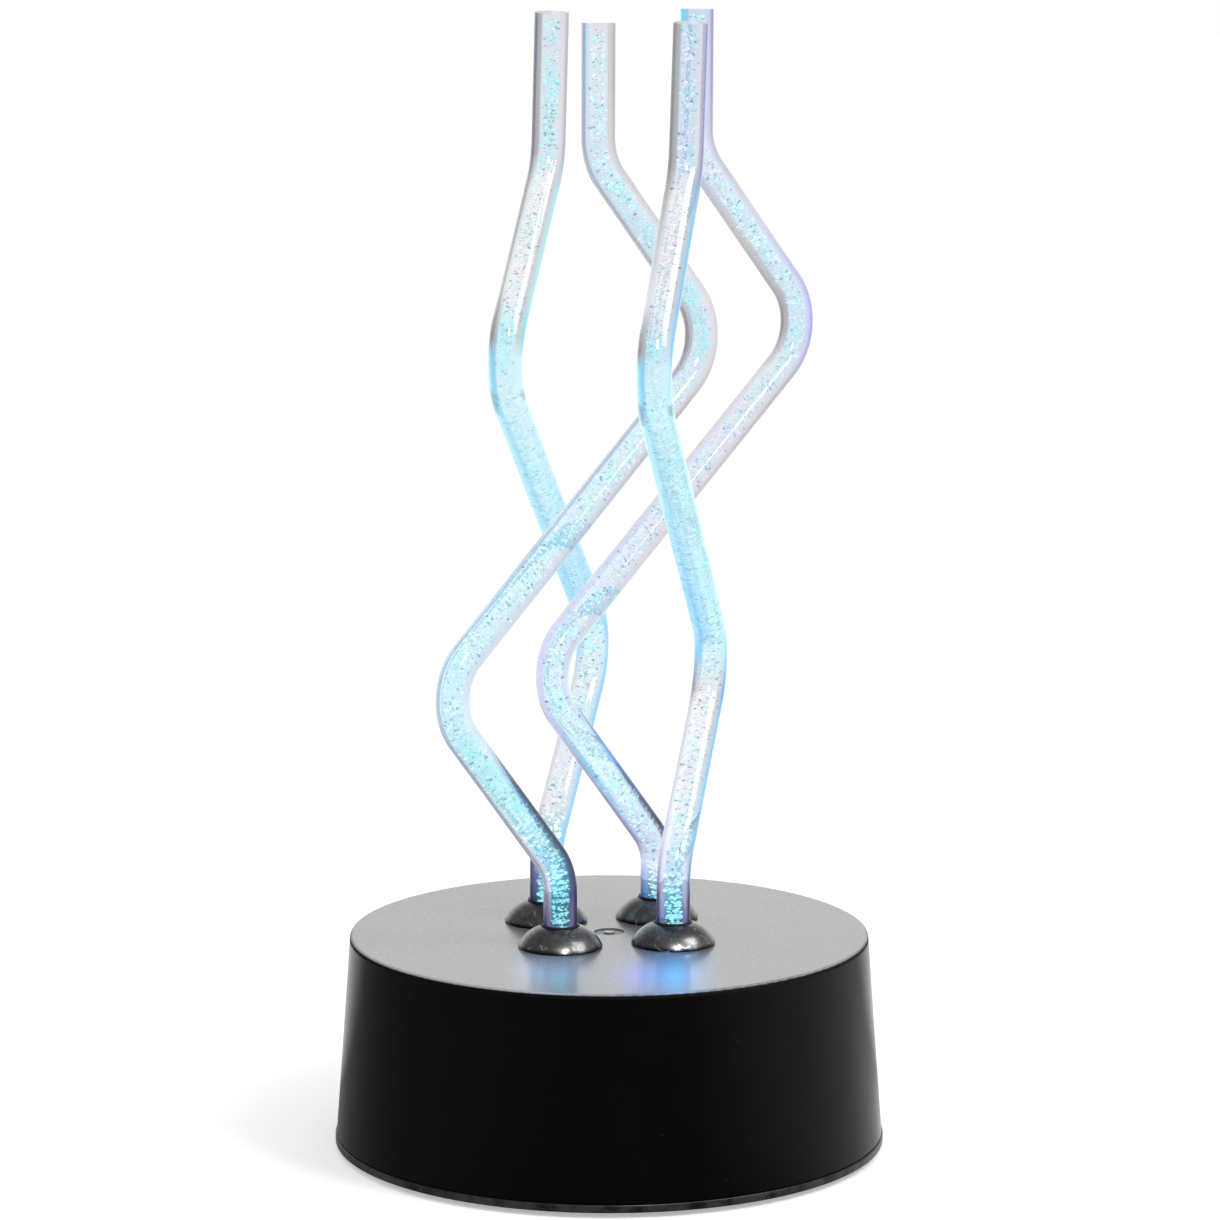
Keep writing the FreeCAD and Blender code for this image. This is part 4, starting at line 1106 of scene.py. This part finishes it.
@dataclass
class Drum:
    """The black drum, its cover, feet, collars and sleeves."""

    effects: Effects
    foot_count: int = 4

    def build(self) -> None:
        """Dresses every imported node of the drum."""
        spills = (LightSpill(19.5 * MM, -52.0 * MM, 7.5 * MM, 24.0 * MM, (0.02, 0.40, 1.05), 0.85),
                  LightSpill(8.5 * MM, -56.0 * MM, 6.5 * MM, 20.0 * MM, (0.02, 0.06, 0.55), 0.75),
                  LightSpill(-22.0 * MM, -50.0 * MM, 5.5 * MM, 20.0 * MM, (0.16, 0.27, 0.44), 0.80),
                  LightSpill(-13.0 * MM, -50.0 * MM, 6.0 * MM, 20.0 * MM, (0.12, 0.27, 0.50), 0.80))
        shell = DrumPlastic("drum_plastic", (0.0016, 0.0016, 0.0017), 0.17, dust=0.03, ior=1.2, mottle=0.0003,
                            spills=spills)
        for node, finish in (
                ("housing", shell),
                ("bottom_cover", CoverPlastic("cover_plastic", (0.006, 0.006, 0.0063), 0.30, ior=1.3)),
                ("battery_door", MouldedPlastic("door_plastic", (0.0075, 0.0075, 0.0078), 0.34)),
                ("switch_knob", MouldedPlastic("knob_plastic", (0.035, 0.035, 0.035), 0.45))):
            dress(node, finish.build(self.effects))
        rubber = MouldedPlastic("foot_rubber", (0.03, 0.03, 0.03), 0.75, 1200.0, 0.6).build(self.effects)
        for number in range(1, self.foot_count + 1):
            dress(f"foot_{number}", rubber)
        sleeve = MouldedPlastic("sleeve_rubber", (0.006, 0.006, 0.007), 0.45, dust=0.0).build(self.effects)
        chrome = CollarChrome("dark_chrome").build(self.effects)
        for rod in RODS:
            dress(f"rod_sleeve_{rod.name}", sleeve)
            dress(f"collar_{rod.name}", chrome)


@dataclass
class Inside:
    """What shows when the battery door is open, and the parts behind it."""

    effects: Effects
    led_light: Colour = (0.25, 0.75, 1.0)
    led_strength: float = 2.0

    def build(self) -> None:
        """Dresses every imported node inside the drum."""
        for finish, nodes in (
                (PlatedMetal("plated_steel", (0.66, 0.65, 0.62), 0.25),
                 "contact_bridges contact_negative contact_positive contact_spring_left contact_spring_middle"
                 " contact_spring_right led_leads switch_frame"),
                (PlatedMetal("dark_zinc", (0.30, 0.30, 0.31), 0.32),
                 "case_screws board_screws switch_screws door_screw"),
                (CellFilm("cell_film", (0.07, 0.16, 0.15), 0.28, dust=0.0),
                 "cell_left cell_middle cell_right"),
                (SolderMask("solder_mask", (0.02, 0.16, 0.07), 0.35), "led_board"),
                (MouldedPlastic("moulded_epoxy", (0.02, 0.02, 0.02), 0.5), "controller_chip resistors"),
                (MouldedPlastic("phenolic", (0.20, 0.10, 0.045), 0.5), "switch_base"),
                (MouldedPlastic("red_wire", (0.5, 0.02, 0.02), 0.4, dust=0.0), "wire_positive wire_switch"),
                (MouldedPlastic("black_wire", (0.02, 0.02, 0.02), 0.4, dust=0.0), "wire_negative")):
            material = finish.build(self.effects)
            for node in nodes.split():
                dress(node, material)
        lens = MouldedPlastic("led_epoxy", (0.7, 0.85, 1.0), 0.1, dust=0.0).build(self.effects)
        shader = lens.node_tree.nodes["Principled BSDF"]
        shader.inputs["Emission Color"].default_value = (*self.led_light, 1.0)
        shader.inputs["Emission Strength"].default_value = self.led_strength
        for rod in RODS:
            dress(f"led_{rod.name}", lens)


# ---- studio ----


@dataclass(frozen=True)
class SoftBox:
    """A soft box: where it stands, its width and height, its power in watts and its roll in degrees.

    Polished surfaces don't mirror one that isn't in gloss, and one that isn't on surfaces leaves dull ones
    unlit.
    """

    name: str
    at: tuple[float, float, float]
    width: float
    height: float
    power: float
    roll: float = 0.0
    in_gloss: bool = True
    on_surfaces: bool = True

    def build(self, target: tuple[float, float, float]) -> None:
        """Hangs the box up.

        Args:
            target: the point that it faces.
        """
        data = bpy.data.lights.new(self.name, "AREA")
        data.shape = "RECTANGLE"
        data.size, data.size_y, data.energy = self.width, self.height, self.power
        light = bpy.data.objects.new(self.name, data)
        light.location = self.at
        facing = (Vector(target) - Vector(self.at)).to_track_quat("-Z", "Y").to_matrix()
        light.rotation_euler = (facing @ Matrix.Rotation(math.radians(self.roll), 3, "Z")).to_euler()
        light.visible_camera = light.visible_transmission = False
        light.visible_glossy, light.visible_diffuse = self.in_gloss, self.on_surfaces
        bpy.context.scene.collection.objects.link(light)


@dataclass
class Studio:
    """Camera, lights, pale floor and white surround."""

    effects: Effects
    camera_right: float = 0.00025
    camera_back: float = 1.466
    camera_height: float = 0.4125
    camera_pitch: float = 9.68
    lens: float = 147.95
    target: tuple[float, float, float] = (0.0, 0.0, 0.15)
    boxes: tuple[SoftBox, ...] = (
        SoftBox("key_box", (0.62, -0.45, 1.14), 0.30, 0.45, 5.5, in_gloss=False),
        SoftBox("side_box", (0.90, -0.36, 1.02), 0.92, 0.66, 13.0, roll=60.0, on_surfaces=False),
        SoftBox("window_box", (0.24, -0.96, 0.92), 0.24, 0.24, 14.0, on_surfaces=False))
    floor_half: float = 6.0
    floor_colour: Colour = (0.85, 0.85, 0.85)
    floor_glow: float = 0.4
    ambient: float = 0.75
    overhead: float = 0.35
    surround_top: tuple[float, float] = (0.30, 0.62)

    def build(self) -> None:
        """Sets up the whole studio."""
        self.make_camera()
        self.make_floor()
        self.make_world()
        for box in self.boxes:
            box.build(self.target)
        bpy.context.scene.view_settings.view_transform = "Standard"

    def make_camera(self) -> None:
        """Stands the camera in front of the lamp, a little above it."""
        data = bpy.data.cameras.new("camera")
        data.sensor_width = 36.0
        data.lens = self.lens
        camera = bpy.data.objects.new("camera", data)
        camera.location = (self.camera_right, -self.camera_back, self.camera_height)
        camera.rotation_euler = (math.radians(90.0 - self.camera_pitch), 0.0, 0.0)
        bpy.context.scene.collection.objects.link(camera)
        bpy.context.scene.camera = camera

    def rays(self, graph: Graph) -> tuple[Socket, Socket]:
        """Sorts the rays that reach a surround.

        Args:
            graph: the graph of the surround's material or world.

        Returns:
            1 for rays seen straight or through the rods, and 1 for mirrored ones.
        """
        path = graph.node("ShaderNodeLightPath").outputs
        through = graph.value("MAXIMUM", path["Is Camera Ray"], path["Is Transmission Ray"])
        return through, graph.times(path["Is Glossy Ray"], graph.less(1.0, through))

    def around(self, graph: Graph, way: Socket) -> tuple[Socket, Socket]:
        """How bright the surround is in a direction, and how far up the direction points."""
        to_right, to_back, height = graph.axes(way)
        return graph.group(self.effects.surround, To_Right=to_right, To_Back=to_back)["Brightness"], height

    def make_floor(self) -> None:
        """Lays the pale floor, white to the camera but for the lamp's shadow."""
        half = self.floor_half
        mesh = bpy.data.meshes.new("floor")
        corners = [(-half, -half, 0), (half, -half, 0), (half, half, 0), (-half, half, 0)]
        mesh.from_pydata(corners, [], [(0, 1, 2, 3)])
        floor = bpy.data.objects.new("floor", mesh)
        bpy.context.scene.collection.objects.link(floor)
        material = bpy.data.materials.new("pale_floor")
        material.use_nodes = True
        graph = Graph(material.node_tree)
        bench = Bench(graph, material.node_tree.nodes["Principled BSDF"], self.effects)
        through, mirrored = self.rays(graph)
        bright, _ = self.around(graph, graph.vector("NORMALIZE", graph.place()))
        glow = graph.plus(graph.times(through, self.floor_glow),
                           graph.times(mirrored, bright))
        bench.feed(Base_Color=graph.blend(mirrored, self.floor_colour, BLACK), Roughness=0.9,
                   Specular_IOR_Level=0.0, Emission_Color=WHITE, Emission_Strength=glow)
        mesh.materials.append(material)

    def make_world(self) -> None:
        """Makes the surround: white to the eye, and a plain even light on the lamp."""
        world = bpy.data.worlds.new("studio")
        world.use_nodes = True
        bpy.context.scene.world = world
        graph = Graph(world.node_tree)
        bright, height = self.around(graph, graph.node("ShaderNodeTexCoord").outputs["Generated"])
        overhead = graph.span(height, *self.surround_top)
        reflection = graph.plus(graph.times(graph.less(1.0, overhead), bright),
                                 graph.times(overhead, self.overhead))
        through, mirrored = self.rays(graph)
        rest = graph.less(1.0, graph.plus(through, mirrored))
        shown = graph.plus(through, graph.times(mirrored, reflection))
        strength = graph.plus(graph.times(rest, self.ambient), shown)
        graph.fill(world.node_tree.nodes["Background"], WHITE, strength)


# ---- the lamp ----


def main() -> None:
    """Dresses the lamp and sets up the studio."""
    logging.basicConfig(level=logging.INFO, format="%(name)s: %(message)s")
    effects = Effects()
    Studio(effects).build()
    Drum(effects).build()
    Inside(effects).build()
    RodSet(effects).build()


if __name__ == "__main__":
    main()
